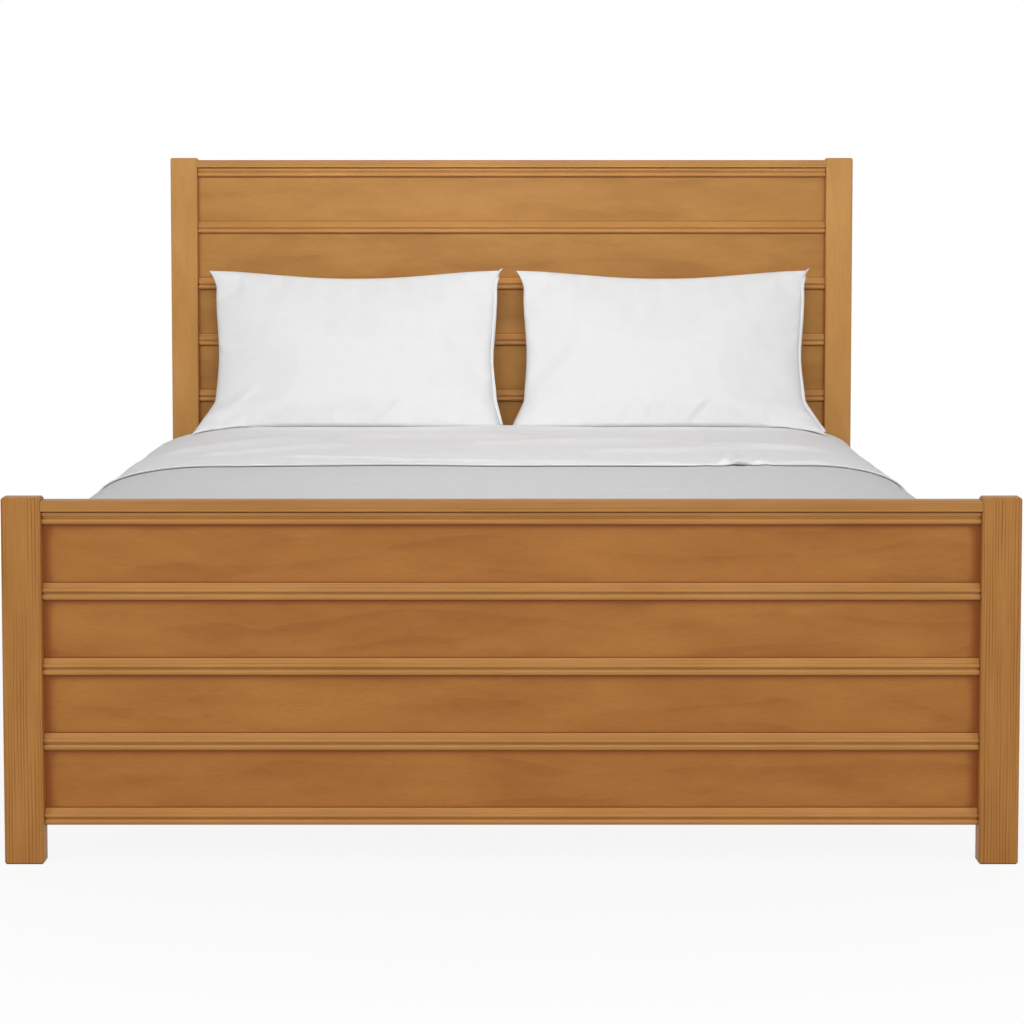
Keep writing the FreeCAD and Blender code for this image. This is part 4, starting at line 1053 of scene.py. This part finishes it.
def make_pillow_net(name, side, width, height):
    """The unfilled case, standing upright at the origin; returns its mesh and the points of its seam."""
    u, v = np.meshgrid(np.linspace(-1, 1, PILLOW_COLUMNS), np.linspace(0, 1, PILLOW_ROWS))
    x, y, z = pillow_seam(u, v, side, width, height)
    swell = pillow_swell(u, v)
    made = bmesh.new()
    layer = made.loops.layers.uv.new("flat_pattern")
    rim = (np.abs(u) > 0.999) | (v < 1e-6) | (v > 1 - 1e-6)
    front, back = {}, {}
    for r, c in np.ndindex(u.shape):
        front[r, c] = made.verts.new((x[r, c], y[r, c] - swell[r, c], z[r, c]))
        back[r, c] = front[r, c] if rim[r, c] else made.verts.new((x[r, c], y[r, c] + swell[r, c], z[r, c]))
    for r in range(PILLOW_ROWS - 1):
        for c in range(PILLOW_COLUMNS - 1):
            corners = [(r, c), (r, c + 1), (r + 1, c + 1), (r + 1, c)]
            for net, order in ((front, corners), (back, corners[::-1])):
                face = made.faces.new([net[k] for k in order])
                face.smooth = True
                for loop, k in zip(face.loops, order):
                    loop[layer].uv = (x[k], z[k])
    made.verts.index_update()
    seam = [front[r, c].index for r, c in np.ndindex(u.shape) if rim[r, c]]
    mesh = bpy.data.meshes.new(name)
    made.to_mesh(mesh)
    made.free()
    return mesh, seam


print("a pillow net has", 2 * (PILLOW_COLUMNS - 1) * (PILLOW_ROWS - 1), "faces")

# %% [markdown]
# A short cloth simulation, held at the seam, gives the case a little more cloth than it needs and blows it
# up, which makes the soft dents of a real pillow. What moves too far is held back, so that the pillow keeps
# its outline.

# %% Filling
EXTRA_CLOTH = 0.007
FILL_PRESSURE = 1.6
FILL_FRAMES = 18
MOST_MOVE = 0.016


def fill_with_air(piece, seam):
    """Blows the case up by a short cloth simulation, held at its seam, and keeps the result as its mesh."""
    piece.vertex_groups.new(name="seam").add(seam, 1.0, "REPLACE")
    before = np.array([v.co for v in piece.data.vertices])
    cloth = piece.modifiers.new("filling", "CLOTH")
    settings = cloth.settings
    settings.quality = 6
    settings.mass = 0.25
    settings.tension_stiffness = 20
    settings.compression_stiffness = 20
    settings.shear_stiffness = 6
    settings.bending_stiffness = 8.0
    settings.vertex_group_mass = "seam"
    settings.shrink_min = -EXTRA_CLOTH
    settings.use_pressure = True
    settings.uniform_pressure_force = FILL_PRESSURE
    settings.effector_weights.gravity = 0.0
    cloth.collision_settings.use_collision = False
    scene = bpy.context.scene
    for number in range(1, FILL_FRAMES + 1):
        scene.frame_set(number)
    shown = piece.evaluated_get(bpy.context.evaluated_depsgraph_get())
    moved = np.array([v.co for v in shown.data.vertices]) - before
    far = np.linalg.norm(moved, axis=1, keepdims=True)
    piece.modifiers.clear()
    held = np.minimum(1, MOST_MOVE / np.maximum(far, 1e-9))
    piece.data.vertices.foreach_set("co", (before + moved * held).ravel())
    scene.frame_set(1)
    return float(far.max())


print("a pillow is filled in", FILL_FRAMES, "frames")

# %% [markdown]
# The case closes on three sides. The fourth, on the right of both pillows, is open: two hemmed edges stand
# there side by side, and the front one ends a little lower. Creases rise from the foot, where the cloth
# bunches. Their places are shares of the pillow's width and height.

# %% Hems and creases
PILLOW_CREASES = (
    (-0.45, 0.08, -0.28, 0.34, 0.011, 0.0040),
    (0.06, 0.04, 0.17, 0.26, 0.009, 0.0045),
    (-0.07, 0.03, -0.055, 0.18, 0.008, 0.0030),
)
HEM_OUT, HEM_IN, HEM_APART, HEM_THICK = 0.003, 0.006, 0.0035, 0.001
HEM_WAVER, HEM_EAR = 0.0015, 0.004
HEM_START, HEM_STEPS = 0.03, 40
HEM_ENDS = {"front": 0.95, "back": 1.0}


def crease_rise(x, z, width, height):
    """How far a few soft creases rise from the pillow's front; each runs up from a place on its foot."""
    rise = 0 * x
    for x0, z0, x1, z1, wide, high in PILLOW_CREASES:
        walk, off, length = beside_line(x, z, (x0 * width, z0 * height), (x1 * width, z1 * height))
        fade = smooth_step(-0.02, 0.05, walk) * (1 - smooth_step(0.5 * length, length, walk))
        ridge = np.exp(-(off / wide) ** 2) - 0.7 * np.exp(-((off + 1.6 * wide) / wide) ** 2)
        rise = rise + high * fade * ridge
    return rise


def make_hem(name, side, low, high):
    """The two edges of the open end, as narrow strips along the seam."""
    pieces = []
    for layer, (edge, top) in enumerate(HEM_ENDS.items()):
        v = np.linspace(HEM_START, top, HEM_STEPS)
        x, y, z = pillow_seam(np.ones_like(v), v, side, high.x - low.x, high.z - low.z)
        away = (HEM_APART if edge == "back" else -HEM_APART) * (1 - 0.5 * v)
        waver = HEM_WAVER * np.sin(9 * v + 2 * layer)
        inner = np.stack([x - HEM_IN, y + 0.3 * away, z], axis=-1)
        outer = np.stack([x + HEM_OUT + waver, y + away, z + HEM_EAR * v ** 8], axis=-1)
        strip = (inner, (inner + outer) / 2, outer)
        points = np.stack([rest_on_bed(lean_back(line, low, high)) for line in strip])
        mesh = net_mesh(f"{name}_{edge}", points, points[..., [0, 2]])
        piece = show(f"{name}_{edge}", mesh, percale)
        thicken(piece, HEM_THICK, 0)
        pieces.append(piece)
    return pieces


print("creases on a pillow:", len(PILLOW_CREASES), "and hems on its open side:", list(HEM_ENDS))

# %% [markdown]
# Now both pillows are made: net, filling, creases, their place on the bed and the hems. Both lie a little
# further left than their solids.

# %% Pillows
FRONT_FROM = 0.004


def make_pillow(side):
    """One pillow, filled, creased and set on the bed, with the hems of its case."""
    low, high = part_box(f"pillow_{side}")
    width, height = high.x - low.x, high.z - low.z
    name = f"filled_pillow_{side}"
    mesh, seam = make_pillow_net(name, side, width, height)
    piece = show(name, mesh, percale)
    moved = fill_with_air(piece, seam)
    co = np.array([v.co for v in piece.data.vertices])
    front = co[:, 1] < -FRONT_FROM
    co[:, 1] -= np.where(front, crease_rise(co[:, 0], co[:, 2], width, height), 0)
    piece.data.vertices.foreach_set("co", rest_on_bed(lean_back(co, low, high)).ravel())
    piece.data.update()
    softened = piece.modifiers.new("soft_cloth", "SUBSURF")
    softened.levels = softened.render_levels = 1
    hems = make_hem(f"pillow_hem_{side}", side, low, high)
    for part in [piece, *hems]:
        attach(part, f"pillow_{side}")
    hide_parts(f"pillow_{side}")
    print(name, "moved up to", round(moved * 1000, 1), "mm while it was filled")


for side in ("left", "right"):
    make_pillow(side)
